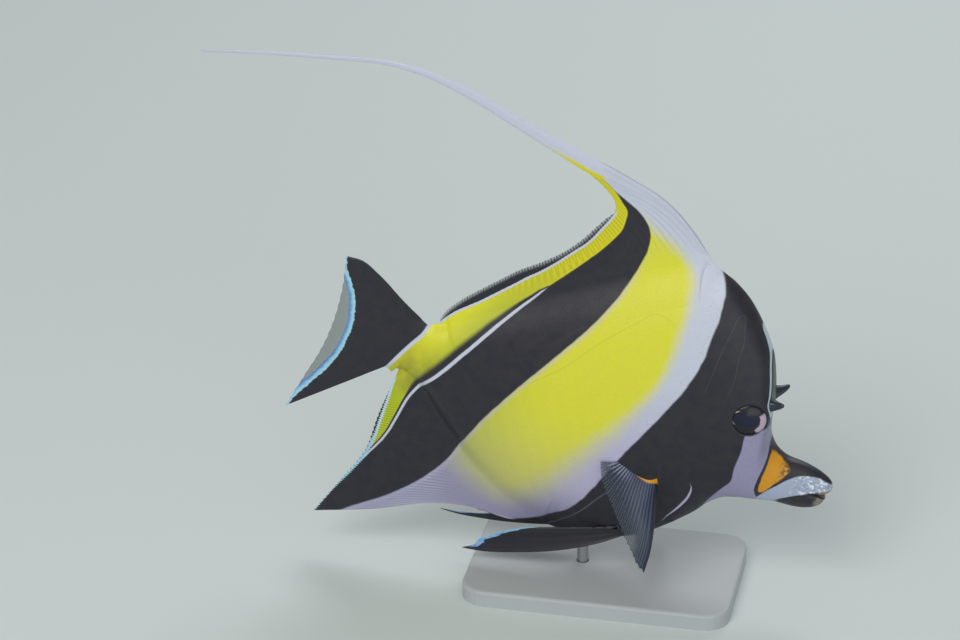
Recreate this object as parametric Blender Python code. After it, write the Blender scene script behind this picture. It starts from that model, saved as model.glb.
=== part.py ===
"""Moorish idol, a life-size still model of the fish on a display stand.

World axes, in metres: +X ahead of the fish, +Y to its left, +Z up, and the stand's foot on z = 0.
The fish is drawn in its own frame, in millimetres: `back` behind the snout tip, `up` above it and
`side` to the left of its middle plane. An empty at the snout tip holds that frame, nose down.
"""
import math

import bmesh
import bpy
import numpy as np
from mathutils import Vector

MM = 0.001
GAP = 0.32                 # kept between touching nodes
PITCH = math.radians(16.1)  # nose down
SNOUT_X = 80.0             # world place of the snout tip
SNOUT_Z = 47.5
RIDGE = 1.2                # half width of the flat ridges that carry the fins
RING_STEPS = 13            # points up one side of a body ring
RINGS_PER_STATION = 2
LINE_STEP = 0.002          # share of the body path over which an outline's slope is taken

# Body stations from the snout to the tail root: outline point on the back (back, up), outline point
# on the belly (back, up), half width, and fullness of the section (1 is an ellipse, less is boxier).
BODY_STATIONS = [
    (0.0, -1.0, 0.5, -9.2, 1.7, 0.80),
    (3.4, 2.4, 2.0, -11.4, 3.0, 0.80),
    (7.3, 3.7, 5.5, -13.3, 3.8, 0.80),
    (13.3, 3.7, 11.5, -13.7, 4.8, 0.80),
    (19.4, 4.1, 17.6, -14.1, 6.2, 0.80),
    (23.5, 6.2, 21.0, -14.7, 7.6, 0.75),
    (26.3, 9.7, 23.6, -15.1, 8.8, 0.70),
    (27.8, 15.0, 26.1, -15.7, 9.8, 0.70),
    (29.3, 23.5, 28.6, -16.3, 10.6, 0.70),
    (31.5, 31.0, 31.6, -17.6, 11.2, 0.75),
    (35.5, 40.5, 35.0, -19.6, 11.6, 0.85),
    (41.7, 49.0, 38.9, -24.0, 12.0, 0.95),
    (48.8, 56.3, 42.2, -29.3, 12.5, 1.00),
    (56.0, 61.0, 47.0, -35.2, 13.0, 1.05),
    (61.5, 63.5, 51.1, -39.7, 13.3, 1.05),
    (67.0, 65.7, 56.2, -44.6, 13.5, 1.10),
    (77.8, 60.6, 65.5, -50.4, 13.5, 1.10),
    (89.5, 52.8, 76.4, -54.1, 13.0, 1.10),
    (101.0, 44.5, 89.4, -55.3, 12.0, 1.10),
    (116.5, 32.4, 105.6, -51.5, 10.2, 1.10),
    (131.0, 20.9, 123.0, -41.7, 8.2, 1.10),
    (141.0, 12.1, 138.7, -28.3, 6.2, 1.05),
    (147.7, 7.3, 149.3, -19.1, 4.9, 1.00),
    (150.9, 5.5, 156.8, -16.9, 3.8, 1.00),
    (152.4, 4.7, 163.6, -18.9, 2.4, 1.00),
]
HEAD_END_STATION = 14
DORSAL_START_STATION = 15
ROD_STATION = 17
ANAL_START_STATION = 18
TRUNK_END_STATION = 21
DORSAL_END_STATION = 22
ANAL_END_STATION = 23

# Lower jaw and the parted mouth, as outlines in the middle plane.
JAW_STATIONS = 4
JAW_REGION = [(-3.0, -5.5), (6.4, -5.5), (10.6, -7.6), (10.6, -17.0), (-3.0, -17.0)]
MOUTH_WEDGE = [(-3.0, -1.6), (0.0, -2.2), (6.4, -5.1), (6.4, -6.0), (1.0, -6.6), (-3.0, -6.8)]
CUTTER_REACH = 20.0

EYE_PLACE = (35.3, 17.9)
EYE_RADIUS = 5.8
EYE_DEPTH = 3.4            # half thickness of the eye
EYE_SUNK = 2.6             # its middle lies this far under the skin
EYE_SEGMENTS = 16
EYE_RINGS = 10

HORN_BASE = (29.8, 5.2, 23.6)    # back, side, up
HORN_BEND = (27.2, 6.4, 24.6)
HORN_TIP = (25.6, 8.7, 26.5)
HORN_RADIUS = 2.5
HORN_TIP_RADIUS = 0.9
HORN_ROOT = 1.8            # length sunk in the brow
HORN_TAPER = 0.8           # under 1 thins faster near the root
HORN_RINGS = 7
HORN_SIDES = 10

# Median fins: the outer margin from the front to the rear, and the leading edge from the root out.
DORSAL_MARGIN = [(115.0, 81.0), (107.8, 77.4), (103.5, 73.8), (102.8, 70.6), (106.7, 63.4),
                 (113.6, 52.0), (121.8, 42.4), (130.2, 34.0), (138.5, 24.8), (149.0, 10.2)]
DORSAL_CREST = (113.8, 86.9)     # where the leading spine passes into the filament
DORSAL_LEADING = [(67.8, 67.1), (75.8, 73.9), (83.2, 78.8), (90.5, 81.9), (99.5, 84.0), DORSAL_CREST]
DORSAL_RAYS = 34
DORSAL_ROWS = 12
DORSAL_SPINE = 0.5         # extra half thickness of the leading spine
DORSAL_ROOT_LATE = 0.002   # share of the body path by which the root starts behind its station
ANAL_MARGIN = [(172.0, -83.5), (165.7, -67.0), (160.4, -52.0), (160.0, -36.7), (159.5, -17.8)]
ANAL_LEADING = [(91.0, -55.9), (104.3, -58.3), (118.3, -59.0), (131.0, -63.0), (150.6, -73.8), (172.0, -83.5)]
ANAL_RAYS = 30
ANAL_ROWS = 10
ANAL_SPINE = 0.3
ANAL_ROOT_LATE = 0.004
CAUDAL_MARGIN = [(186.8, 19.5), (185.0, 6.7), (184.6, -5.0), (186.0, -18.6), (189.0, -31.2), (192.5, -45.8)]
CAUDAL_LEADING = [(152.9, 4.9), (162.3, 9.8), (173.8, 16.8), (181.0, 19.9), (186.8, 19.5)]
CAUDAL_RAYS = 17
CAUDAL_ROWS = 9
CAUDAL_SPINE = 0.3
MEMBRANE_HALF = 0.27       # half thickness of the fin skin
RAY_HALF = 0.24            # a ray stands this much proud on each face
RAY_ROOT = 0.2             # share of its length over which a ray rises from the flesh
RAY_THINNING = 0.5         # share of its height that it loses by the margin
SPINE_THINNING = 0.3
SPINE_COLUMNS = 2.0        # the leading spine fades over this many columns
FLESH_HALF = 0.75          # extra half thickness at the fleshy root of a median fin
FLESH_FADE = 4             # power by which the flesh thins towards the margin
BOW_FADE = 5               # power by which the bow of the leading edge fades over the rays behind

# Filament of the dorsal fin: back, up, height and width of its section.
FILAMENT = [(115.4, 84.1, 5.8, 2.2), (127.7, 86.7, 5.0, 2.0), (143.0, 90.1, 4.2, 1.8),
            (162.6, 94.4, 3.4, 1.6), (179.2, 96.0, 2.4, 1.4), (191.8, 95.1, 1.9, 1.3),
            (211.0, 90.0, 1.7, 1.2), (235.0, 82.8, 1.5, 1.1), (255.4, 75.9, 1.2, 1.0)]
FILAMENT_CUTS = (0.0, 0.32, 0.64, 1.0)
FILAMENT_SIDES = 10
FILAMENT_RINGS = 12
FILAMENT_STEP = 0.004      # share of the filament over which its slope is taken

# Paired fins of the right side: the root line on the skin (back, up), then as (back, side, up) the
# leading edge beyond the root, and the outer margin beyond the tip.
PECTORAL_ROOT = [(58.8, -15.6), (60.4, -18.4), (63.2, -20.0)]
PECTORAL_PROUD = -0.8      # below 0: the root line lies this far under the skin
PECTORAL_LEADING = [(56.0, -16.0, -25.4), (53.4, -21.6, -34.6), (51.4, -28.0, -44.6)]
PECTORAL_MARGIN = [(57.0, -27.0, -37.0), (62.8, -25.4, -32.4), (70.0, -23.4, -24.0), (78.4, -20.6, -13.0)]
PECTORAL_RAYS = 15
PECTORAL_ROWS = 8
PELVIC_ROOT = [(60.4, -43.6), (61.6, -42.2), (62.8, -40.8)]
PELVIC_PROUD = 1.1         # its plate lies along the skin, so its middle stands this far off
PELVIC_LEADING = [(72.0, -8.6, -51.4), (88.4, -9.2, -60.8), (104.2, -8.8, -68.4), (116.0, -8.0, -71.8)]
PELVIC_MARGIN = [(108.2, -8.4, -64.8), (99.6, -8.8, -57.4), (88.0, -9.4, -53.4), (76.0, -10.4, -49.0)]
PELVIC_FAR_LIFT = math.radians(4.0)   # the left pelvic fin trails this much higher
PELVIC_RAYS = 6
PELVIC_ROWS = 12
PAIRED_SPINE = 0.15
PAIRED_FLESH_HALF = 0.35   # extra half thickness at the root of a paired fin

BASE_LENGTH = 96.0
BASE_WIDTH = 60.0
BASE_HEIGHT = 6.0
BASE_CORNER = 9.0
BASE_EDGE = 1.0
ROD_RADIUS = 2.0
ROD_INTO_BODY = 4.0
ROD_INTO_BASE = 3.0
ROD_SIDES = 24
BASE_CORNER_STEPS = 6
BASE_EDGE_STEPS = 2


class Path:
    """A smooth curve through a few points, run by t from 0 to 1 in step with its length."""

    def __init__(self, points, measured=3):
        self.points = np.array(points, float)
        steps = np.linalg.norm(np.diff(self.points[:, :measured], axis=0), axis=1)
        self.knots = np.concatenate(([0.0], np.cumsum(steps))) / steps.sum()
        self.slopes = np.gradient(self.points, self.knots, axis=0)

    def at(self, t):
        i = int(np.searchsorted(self.knots, t, side="right")) - 1
        i = max(0, min(i, len(self.knots) - 2))
        span = self.knots[i + 1] - self.knots[i]
        f = (t - self.knots[i]) / span
        start, end = self.points[i], self.points[i + 1]
        leave, arrive = self.slopes[i] * span, self.slopes[i + 1] * span
        return (start * (1 + 2 * f) * (1 - f) ** 2 + leave * f * (1 - f) ** 2
                + end * f * f * (3 - 2 * f) + arrive * f * f * (f - 1))


BODY = Path(BODY_STATIONS, measured=4)


def local(back, side, up):
    """Point of the fish's frame in the empty's own axes, in millimetres."""
    return np.array((-back, side, up), float)


def body_ring(t):
    """Ring of points round the body at t: from the belly ridge up the left side, down the right."""
    row = BODY.at(t)
    top, low, half, fullness = row[0:2], row[2:4], row[4], row[5]
    angles = np.linspace(-math.pi / 2, math.pi / 2, RING_STEPS)
    shares = 0.5 + 0.5 * np.sin(angles)
    widths = RIDGE + (half - RIDGE) * np.abs(np.cos(angles)) ** fullness
    line = low + shares[:, None] * (top - low)
    left = np.column_stack((-line[:, 0], widths, line[:, 1]))
    right = np.column_stack((-line[:, 0], -widths, line[:, 1]))
    return np.concatenate((left, right[::-1]))


def ring_normal(ring):
    """Direction square to a body ring, towards the tail."""
    chord = ring[RING_STEPS - 1] - ring[0]
    normal = np.array((-chord[2], 0.0, chord[0]))
    return normal / np.linalg.norm(normal)


def skin_side(back, up):
    """Half width of the body at a place seen from the side, found by halving the range of t."""
    low_t, high_t = 0.0, 1.0
    for _ in range(40):
        t = (low_t + high_t) / 2
        row = BODY.at(t)
        share = (up - row[3]) / (row[1] - row[3])
        if row[2] + share * (row[0] - row[2]) < back:
            low_t = t
        else:
            high_t = t
    share = min(max(share, 0.0), 1.0)
    return RIDGE + (row[4] - RIDGE) * math.cos(math.asin(2 * share - 1)) ** row[5]


def outline_point(t, over_back):
    """Point on the back or the belly line at t, moved out by the gap along the outline's normal."""
    columns = slice(0, 2) if over_back else slice(2, 4)
    here = BODY.at(t)[columns]
    ahead = BODY.at(min(t + LINE_STEP, 1.0))[columns]
    behind = BODY.at(max(t - LINE_STEP, 0.0))[columns]
    run, rise = ahead - behind
    normal = np.array((-rise, run)) / math.hypot(run, rise)
    return here + GAP * (normal if over_back else -normal)


def material(name, color, roughness=0.45, metallic=0.0):
    """Principled material with a plain colour."""
    made = bpy.data.materials.new(name)
    made.use_nodes = True
    shader = made.node_tree.nodes["Principled BSDF"]
    shader.inputs["Base Color"].default_value = (*color, 1.0)
    shader.inputs["Roughness"].default_value = roughness
    shader.inputs["Metallic"].default_value = metallic
    made.diffuse_color = (*color, 1.0)
    return made


def mesh_from(name, points, faces):
    """Mesh from points in millimetres, with its faces turned outwards."""
    mesh = bpy.data.meshes.new(name)
    mesh.from_pydata([tuple(np.array(p) * MM) for p in points], [], faces)
    shell = bmesh.new()
    shell.from_mesh(mesh)
    bmesh.ops.recalc_face_normals(shell, faces=shell.faces)
    shell.to_mesh(mesh)
    shell.free()
    return mesh


def link_object(name, mesh, parent=None, finish=None, smooth=False):
    """Object in the scene, under the parent empty where one is given."""
    if finish:
        mesh.materials.append(finish)
    for polygon in mesh.polygons:
        polygon.use_smooth = smooth
    made = bpy.data.objects.new(name, mesh)
    bpy.context.scene.collection.objects.link(made)
    made.parent = parent
    return made


def loft(rings):
    """Points and faces of a closed body through rings of equal length, with flat ends."""
    count = len(rings[0])
    points = [p for ring in rings for p in ring]
    faces = []
    for r in range(len(rings) - 1):
        for k in range(count):
            a, b = r * count + k, r * count + (k + 1) % count
            faces.append((a, b, b + count, a + count))
    faces.append(tuple(range(count)))
    faces.append(tuple(range((len(rings) - 1) * count, len(rings) * count)))
    return points, faces


def sheet(middle, half, columns, rows):
    """Points and faces of a thin closed plate.

    middle(u, v) is its middle surface and half(i, v) its half thickness at column i. Both faces are
    split into triangles alike, so that they keep their distance where the plate curves.
    """
    place = np.array([[middle(i / columns, j / rows) for j in range(rows + 1)] for i in range(columns + 1)])
    normals = np.cross(np.gradient(place, axis=0), np.gradient(place, axis=1))
    normals /= np.maximum(np.linalg.norm(normals, axis=2, keepdims=True), 1e-9)
    thick = np.array([[half(i, j / rows) for j in range(rows + 1)] for i in range(columns + 1)])
    front = place + normals * thick[:, :, None]
    rear = place - normals * thick[:, :, None]
    points = list(front.reshape(-1, 3)) + list(rear.reshape(-1, 3))
    offset = (columns + 1) * (rows + 1)

    def index(i, j):
        return i * (rows + 1) + j

    faces = []
    for i in range(columns):
        for j in range(rows):
            a, b, c, d = index(i, j), index(i + 1, j), index(i + 1, j + 1), index(i, j + 1)
            faces += [(a, b, c), (a, c, d)]
            faces += [(a + offset, c + offset, b + offset), (a + offset, d + offset, c + offset)]
    rim = [index(i, 0) for i in range(columns)] + [index(columns, j) for j in range(rows)]
    rim += [index(i, rows) for i in range(columns, 0, -1)] + [index(0, j) for j in range(rows, 0, -1)]
    for k, a in enumerate(rim):
        b = rim[(k + 1) % len(rim)]
        faces.append((a, a + offset, b + offset, b))
    return points, faces


def fan(root, margin, leading):
    """Middle surface of a fin: rays from the root line to the margin, bowed like the leading edge."""
    def middle(u, v):
        chord = leading.at(0.0) * (1 - v) + leading.at(1.0) * v
        bow = (leading.at(v) - chord) * (1 - u) ** BOW_FADE
        return root(u) * (1 - v) + margin(u) * v + bow
    return middle


def ray_half(spine, flesh):
    """Half thickness with rays: odd columns are crests, and the first ones may carry a stout spine."""
    def half(i, v):
        crest = RAY_HALF * min(1.0, v / RAY_ROOT) * (1 - RAY_THINNING * v) if i % 2 else 0.0
        stout = spine * math.exp(-(i / SPINE_COLUMNS) ** 2) * (1 - SPINE_THINNING * v)
        return MEMBRANE_HALF + flesh * (1 - v) ** FLESH_FADE + crest + stout
    return half


def room_round(name, points, fish):
    """Closed hull round some points, grown by the gap: the room that a sunk root needs."""
    shell = bmesh.new()
    for point in points:
        for corner in np.ndindex(2, 2, 2):
            shell.verts.new(Vector((np.array(point) + (np.array(corner) * 2 - 1) * GAP) * MM))
    made = bmesh.ops.convex_hull(shell, input=shell.verts)
    loose = {v for v in made["geom_interior"] + made["geom_unused"] if isinstance(v, bmesh.types.BMVert)}
    bmesh.ops.delete(shell, geom=list(loose), context="VERTS")
    mesh = bpy.data.meshes.new(name)
    shell.to_mesh(mesh)
    shell.free()
    return link_object(name, mesh, fish)


def prism(name, outline, fish):
    """Closed prism across the body from an outline in the middle plane."""
    count = len(outline)
    points = [local(back, side, up) for side in (-CUTTER_REACH, CUTTER_REACH) for back, up in outline]
    faces = [tuple(range(count)), tuple(range(2 * count - 1, count - 1, -1))]
    faces += [(k, (k + 1) % count, (k + 1) % count + count, k + count) for k in range(count)]
    return link_object(name, mesh_from(name, points, faces), fish)


def keep_largest(mesh):
    """Drop all but the closed surface with the most faces."""
    shell = bmesh.new()
    shell.from_mesh(mesh)
    left = set(shell.faces)
    groups = []
    while left:
        stack = [left.pop()]
        group = list(stack)
        while stack:
            near = {other for edge in stack.pop().edges for other in edge.link_faces} & left
            left -= near
            stack += near
            group += near
        groups.append(group)
    groups.sort(key=len, reverse=True)
    for group in groups[1:]:
        bmesh.ops.delete(shell, geom=group, context="FACES")
    shell.to_mesh(mesh)
    shell.free()


def carve(target, cutters, operation="DIFFERENCE"):
    """Apply one Boolean for each cutter, then remove the cutters."""
    for cutter in cutters:
        step = target.modifiers.new(cutter.name, "BOOLEAN")
        step.operation = operation
        step.object = cutter
        step.solver = "EXACT"
    bpy.context.view_layer.update()
    graph = bpy.context.evaluated_depsgraph_get()
    carved = bpy.data.meshes.new_from_object(target.evaluated_get(graph))
    target.modifiers.clear()
    target.data = carved
    keep_largest(carved)
    for cutter in cutters:
        bpy.data.objects.remove(cutter)


def body_length(name, start, end, finish, fish):
    """Stretch of the body between two stations; behind the head its front ring stands back by the gap."""
    numbers = np.linspace(start, end, (end - start) * RINGS_PER_STATION + 1)
    rings = [body_ring(t) for t in np.interp(numbers, range(len(BODY_STATIONS)), BODY.knots)]
    if start > 0:
        rings[0] = rings[0] + ring_normal(rings[0]) * GAP
    return link_object(name, mesh_from(name, *loft(rings)), fish, finish, smooth=True)


def median_fin(name, root, margin, leading, rays, rows, spine, finish, fish, crest=None):
    """Fin in the middle plane from the body's ridge out to its margin.

    Where a crest is given, the first ray's width runs from it to the margin's first point.
    """
    margin_path, leading_path = Path(margin), Path(leading)
    first = 1.0 / rays if crest else 0.0

    def rim(u):
        if u < first:
            return np.array(crest) * (1 - u / first) + margin_path.at(0.0) * (u / first)
        return margin_path.at((u - first) / (1 - first))

    spread = fan(root, rim, leading_path)

    def middle(u, v):
        back, up = spread(u, v)
        return local(back, 0.0, up)

    plate = sheet(middle, ray_half(spine, FLESH_HALF), 2 * rays, rows)
    return link_object(name, mesh_from(name, *plate), fish, finish)


def ridge_line(start, end, over_back):
    """Root line of a fin along the back or the belly, between two places on the body path."""
    return lambda u: outline_point(start + (end - start) * u, over_back)


def tail_line(u):
    """Root line of the tail fin, down the flat end of the body."""
    ring = body_ring(1.0)
    place = ring[RING_STEPS - 1] * (1 - u) + ring[0] * u + ring_normal(ring) * GAP
    return np.array((-place[0], place[2]))


def paired_outlines(root, off_skin, leading, margin, pivot_lift, side_sign):
    """Root, leading edge and margin of a paired fin, on the right or the left side."""
    rooted = [(back, -skin_side(back, up) - off_skin, up) for back, up in root]
    outlines = (rooted, [rooted[0]] + leading, [leading[-1]] + margin)
    raised = [lifted(outline, rooted[1], pivot_lift) for outline in outlines]
    return [[(back, -side_sign * side, up) for back, side, up in outline] for outline in raised]


def paired_fin(name, outlines, rays, rows, finish, fish):
    """Fin of one side as a bent sheet; returns the room that its root needs in the skin."""
    root, leading, margin = (Path(outline) for outline in outlines)
    spread = fan(root.at, margin.at, leading)
    half = ray_half(PAIRED_SPINE, PAIRED_FLESH_HALF)
    points, faces = sheet(lambda u, v: local(*spread(u, v)), half, 2 * rays, rows)
    link_object(name, mesh_from(name, points, faces), fish, finish)
    front = (2 * rays + 1) * (rows + 1)
    sunk = [points[face + column * (rows + 1) + row]
            for face in (0, front) for column in (0, rays, 2 * rays) for row in (0, 1)]
    return room_round(f"{name}_room", sunk, fish)


def lifted(outline, pivot, angle):
    """Points (back, side, up) turned up about a pivot, as seen from the side."""
    turned = []
    for back, side, up in outline:
        run, rise = back - pivot[0], up - pivot[2]
        turned.append((pivot[0] + run * math.cos(angle) - rise * math.sin(angle), side,
                       pivot[2] + run * math.sin(angle) + rise * math.cos(angle)))
    return turned


def filament_lengths(finish, fish):
    """The drawn-out dorsal ray, in lengths of tapering oval section that meet with the gap."""
    path = Path(FILAMENT, measured=2)
    for number in range(len(FILAMENT_CUTS) - 1):
        rings = []
        for t in np.linspace(FILAMENT_CUTS[number], FILAMENT_CUTS[number + 1], FILAMENT_RINGS + 1):
            back, up, high, wide = path.at(t)
            ahead, behind = path.at(min(t + FILAMENT_STEP, 1.0)), path.at(max(t - FILAMENT_STEP, 0.0))
            run, rise = (ahead - behind)[0:2]
            run, rise = run / math.hypot(run, rise), rise / math.hypot(run, rise)
            if not rings:
                back, up = back + run * GAP, up + rise * GAP
            ring = []
            for angle in np.linspace(0, 2 * math.pi, FILAMENT_SIDES, endpoint=False):
                lift = high / 2 * math.cos(angle)
                ring.append(local(back - lift * rise, wide / 2 * math.sin(angle), up + lift * run))
            rings.append(ring)
        name = f"dorsal_filament_{number + 1}"
        link_object(name, mesh_from(name, *loft(rings)), fish, finish, smooth=True)


def eye_ball(name, side_sign, grown, fish, finish=None):
    """Flattened ball at the side of the head, or the room for it when grown."""
    side = skin_side(*EYE_PLACE) - EYE_SUNK
    centre = local(EYE_PLACE[0], side_sign * side, EYE_PLACE[1])
    radii = np.array((EYE_RADIUS, EYE_DEPTH, EYE_RADIUS)) + grown
    shell = bmesh.new()
    bmesh.ops.create_uvsphere(shell, u_segments=EYE_SEGMENTS, v_segments=EYE_RINGS, radius=1.0)
    points = [centre + radii * np.array((v.co.x, v.co.z * side_sign, v.co.y)) for v in shell.verts]
    faces = [tuple(v.index for v in face.verts) for face in shell.faces]
    shell.free()
    return link_object(name, mesh_from(name, points, faces), fish, finish, smooth=True)


def horn(name, side_sign, grown, fish, finish=None):
    """Small bony spur before the eye, bent outwards, its root sunk in the brow."""
    base, bend, tip = (np.array((b, side_sign * s, u)) for b, s, u in (HORN_BASE, HORN_BEND, HORN_TIP))
    root = base - (bend - base) / np.linalg.norm(bend - base) * (HORN_ROOT + grown)
    rings = []
    for f in np.linspace(0, 1, HORN_RINGS):
        place = root * (1 - f) ** 2 + 2 * bend * f * (1 - f) + tip * f * f
        ahead = (bend - root) * (1 - f) + (tip - bend) * f
        ahead /= np.linalg.norm(ahead)
        across = np.cross(ahead, (0.0, 0.0, 1.0))
        across /= np.linalg.norm(across)
        other = np.cross(ahead, across)
        radius = HORN_RADIUS + (HORN_TIP_RADIUS - HORN_RADIUS) * f ** HORN_TAPER + grown
        rings.append([local(*(place + radius * (across * math.cos(a) + other * math.sin(a))))
                      for a in np.linspace(0, 2 * math.pi, HORN_SIDES, endpoint=False)])
    return link_object(name, mesh_from(name, *loft(rings)), fish, finish, smooth=True)


def rod(name, place, grown, finish=None):
    """Upright rod from inside the base to inside the belly, or the room for it when grown."""
    low, high = BASE_HEIGHT - ROD_INTO_BASE - grown, place[2] + ROD_INTO_BODY + grown
    shell = bmesh.new()
    bmesh.ops.create_cone(shell, cap_ends=True, segments=ROD_SIDES, radius1=(ROD_RADIUS + grown) * MM,
                          radius2=(ROD_RADIUS + grown) * MM, depth=(high - low) * MM)
    mesh = bpy.data.meshes.new(name)
    shell.to_mesh(mesh)
    shell.free()
    made = link_object(name, mesh, None, finish)
    for polygon in mesh.polygons:
        polygon.use_smooth = len(polygon.vertices) == 4
    made.location = (place[0] * MM, 0.0, (low + high) / 2 * MM)
    return made


def stand_base(finish):
    """Flat base with rounded corners and an eased top edge, its foot on the floor."""
    shell = bmesh.new()
    bmesh.ops.create_cube(shell, size=1.0)
    bmesh.ops.scale(shell, vec=Vector((BASE_LENGTH, BASE_WIDTH, BASE_HEIGHT)) * MM, verts=shell.verts)
    upright = [e for e in shell.edges if abs(e.verts[0].co.z - e.verts[1].co.z) > MM]
    bmesh.ops.bevel(shell, geom=upright, offset=BASE_CORNER * MM, segments=BASE_CORNER_STEPS,
                    profile=0.5, affect="EDGES")
    top = [e for e in shell.edges if min(v.co.z for v in e.verts) > BASE_HEIGHT * 0.49 * MM]
    bmesh.ops.bevel(shell, geom=top, offset=BASE_EDGE * MM, segments=BASE_EDGE_STEPS,
                    profile=0.5, affect="EDGES")
    mesh = bpy.data.meshes.new("stand_base")
    shell.to_mesh(mesh)
    shell.free()
    made = link_object("stand_base", mesh, None, finish)
    made.location = (0.0, 0.0, BASE_HEIGHT / 2 * MM)
    return made


def belly_place():
    """World place, in millimetres, where the rod meets the belly."""
    back, up = BODY.at(BODY.knots[ROD_STATION])[2:4]
    return (SNOUT_X - back * math.cos(PITCH) + up * math.sin(PITCH), 0.0,
            SNOUT_Z + back * math.sin(PITCH) + up * math.cos(PITCH))


def build_stand():
    """Base and rod."""
    base = stand_base(material("stand_base_paint", (0.62, 0.62, 0.60), 0.5))
    rod("stand_rod", belly_place(), 0.0, material("stand_rod_steel", (0.62, 0.62, 0.63), 0.3, 1.0))
    carve(base, [rod("rod_room", belly_place(), GAP)])


def build_head(fish):
    """Head with its eyes and horns, and the lower jaw parted from the mouth."""
    head = body_length("head", 0, HEAD_END_STATION, material("head_skin", (0.80, 0.78, 0.76)), fish)
    jaw = body_length("lower_jaw", 0, JAW_STATIONS, material("jaw_skin", (0.10, 0.08, 0.08)), fish)
    eye_gloss = material("eye_cornea", (0.03, 0.03, 0.05), 0.12)
    horn_bone = material("horn_bone", (0.12, 0.11, 0.12))
    parted = [(back + GAP * (back > 0), up + GAP * (up > JAW_REGION[-1][1])) for back, up in JAW_REGION]
    rooms = [prism("jaw_room", parted, fish), prism("mouth", MOUTH_WEDGE, fish)]
    for name, sign in (("right", -1), ("left", 1)):
        eye_ball(f"eye_{name}", sign, 0.0, fish, eye_gloss)
        rooms.append(eye_ball(f"eye_room_{name}", sign, GAP, fish))
        horn(f"horn_{name}", sign, 0.0, fish, horn_bone)
        rooms.append(horn(f"horn_room_{name}", sign, GAP, fish))
    carve(head, rooms)
    carve(jaw, [prism("jaw_region", JAW_REGION, fish)], "INTERSECT")
    carve(jaw, [prism("mouth", MOUTH_WEDGE, fish)])


def build_median_fins(fish):
    """Dorsal fin with its filament, anal fin and tail fin."""
    dorsal_skin = material("dorsal_membrane", (0.86, 0.82, 0.70))
    anal_skin = material("anal_membrane", (0.12, 0.11, 0.14))
    caudal_skin = material("caudal_membrane", (0.06, 0.06, 0.07))
    knots = BODY.knots
    back_line = ridge_line(knots[DORSAL_START_STATION] + DORSAL_ROOT_LATE, knots[DORSAL_END_STATION], True)
    belly_line = ridge_line(knots[ANAL_START_STATION] + ANAL_ROOT_LATE, knots[ANAL_END_STATION], False)
    median_fin("dorsal_fin", back_line, DORSAL_MARGIN, DORSAL_LEADING, DORSAL_RAYS, DORSAL_ROWS,
               DORSAL_SPINE, dorsal_skin, fish, DORSAL_CREST)
    median_fin("anal_fin", belly_line, ANAL_MARGIN, ANAL_LEADING, ANAL_RAYS, ANAL_ROWS, ANAL_SPINE,
               anal_skin, fish)
    median_fin("caudal_fin", tail_line, CAUDAL_MARGIN, CAUDAL_LEADING, CAUDAL_RAYS, CAUDAL_ROWS,
               CAUDAL_SPINE, caudal_skin, fish)
    filament_lengths(material("filament_ray", (0.85, 0.85, 0.82)), fish)


def build_trunk(fish):
    """Trunk and tail root, with the paired fins and the rod let into the trunk."""
    trunk = body_length("trunk", HEAD_END_STATION, TRUNK_END_STATION,
                        material("trunk_skin", (0.85, 0.72, 0.20)), fish)
    body_length("tail_peduncle", TRUNK_END_STATION, len(BODY_STATIONS) - 1,
                material("tail_skin", (0.78, 0.70, 0.12)), fish)
    pectoral_skin = material("pectoral_membrane", (0.60, 0.66, 0.70))
    pelvic_skin = material("pelvic_membrane", (0.06, 0.06, 0.08))
    rooms = [rod("rod_room", belly_place(), GAP)]
    for name, sign in (("right", -1), ("left", 1)):
        outlines = paired_outlines(PECTORAL_ROOT, PECTORAL_PROUD, PECTORAL_LEADING, PECTORAL_MARGIN,
                                   0.0, sign)
        rooms.append(paired_fin(f"pectoral_fin_{name}", outlines, PECTORAL_RAYS, PECTORAL_ROWS,
                                pectoral_skin, fish))
        lift = PELVIC_FAR_LIFT if name == "left" else 0.0
        outlines = paired_outlines(PELVIC_ROOT, PELVIC_PROUD, PELVIC_LEADING, PELVIC_MARGIN, lift, sign)
        rooms.append(paired_fin(f"pelvic_fin_{name}", outlines, PELVIC_RAYS, PELVIC_ROWS, pelvic_skin, fish))
    carve(trunk, rooms)


def main():
    for leftover in list(bpy.data.objects):
        bpy.data.objects.remove(leftover)
    fish = bpy.data.objects.new("fish_pose", None)
    bpy.context.scene.collection.objects.link(fish)
    fish.location = (SNOUT_X * MM, 0.0, SNOUT_Z * MM)
    fish.rotation_euler = (0.0, PITCH, 0.0)
    build_stand()
    build_head(fish)
    build_median_fins(fish)
    build_trunk(fish)


main()
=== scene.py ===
import math

import bpy
import numpy as np
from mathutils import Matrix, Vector


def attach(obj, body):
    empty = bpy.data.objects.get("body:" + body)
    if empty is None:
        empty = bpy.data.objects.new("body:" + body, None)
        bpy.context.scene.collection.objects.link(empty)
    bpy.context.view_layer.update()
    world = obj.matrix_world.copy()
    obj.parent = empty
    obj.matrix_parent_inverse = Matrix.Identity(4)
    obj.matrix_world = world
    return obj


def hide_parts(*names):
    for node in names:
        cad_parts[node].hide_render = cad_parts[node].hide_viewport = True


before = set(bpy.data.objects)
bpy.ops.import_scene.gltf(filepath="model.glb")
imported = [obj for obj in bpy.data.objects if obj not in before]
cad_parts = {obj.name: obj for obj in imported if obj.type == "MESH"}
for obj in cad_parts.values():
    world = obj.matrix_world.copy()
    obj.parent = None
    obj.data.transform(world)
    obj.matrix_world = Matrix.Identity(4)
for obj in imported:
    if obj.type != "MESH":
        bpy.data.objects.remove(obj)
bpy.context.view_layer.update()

# A moorish idol, life size, on its display stand. The fish is drawn in its own frame in millimetres:
# back behind the snout tip, side to the fish's left, up towards the dorsal fin.
pose = {"pitch": math.radians(16.1), "snoutX": 80.0, "snoutZ": 47.5, "metres": 0.001}


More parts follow.
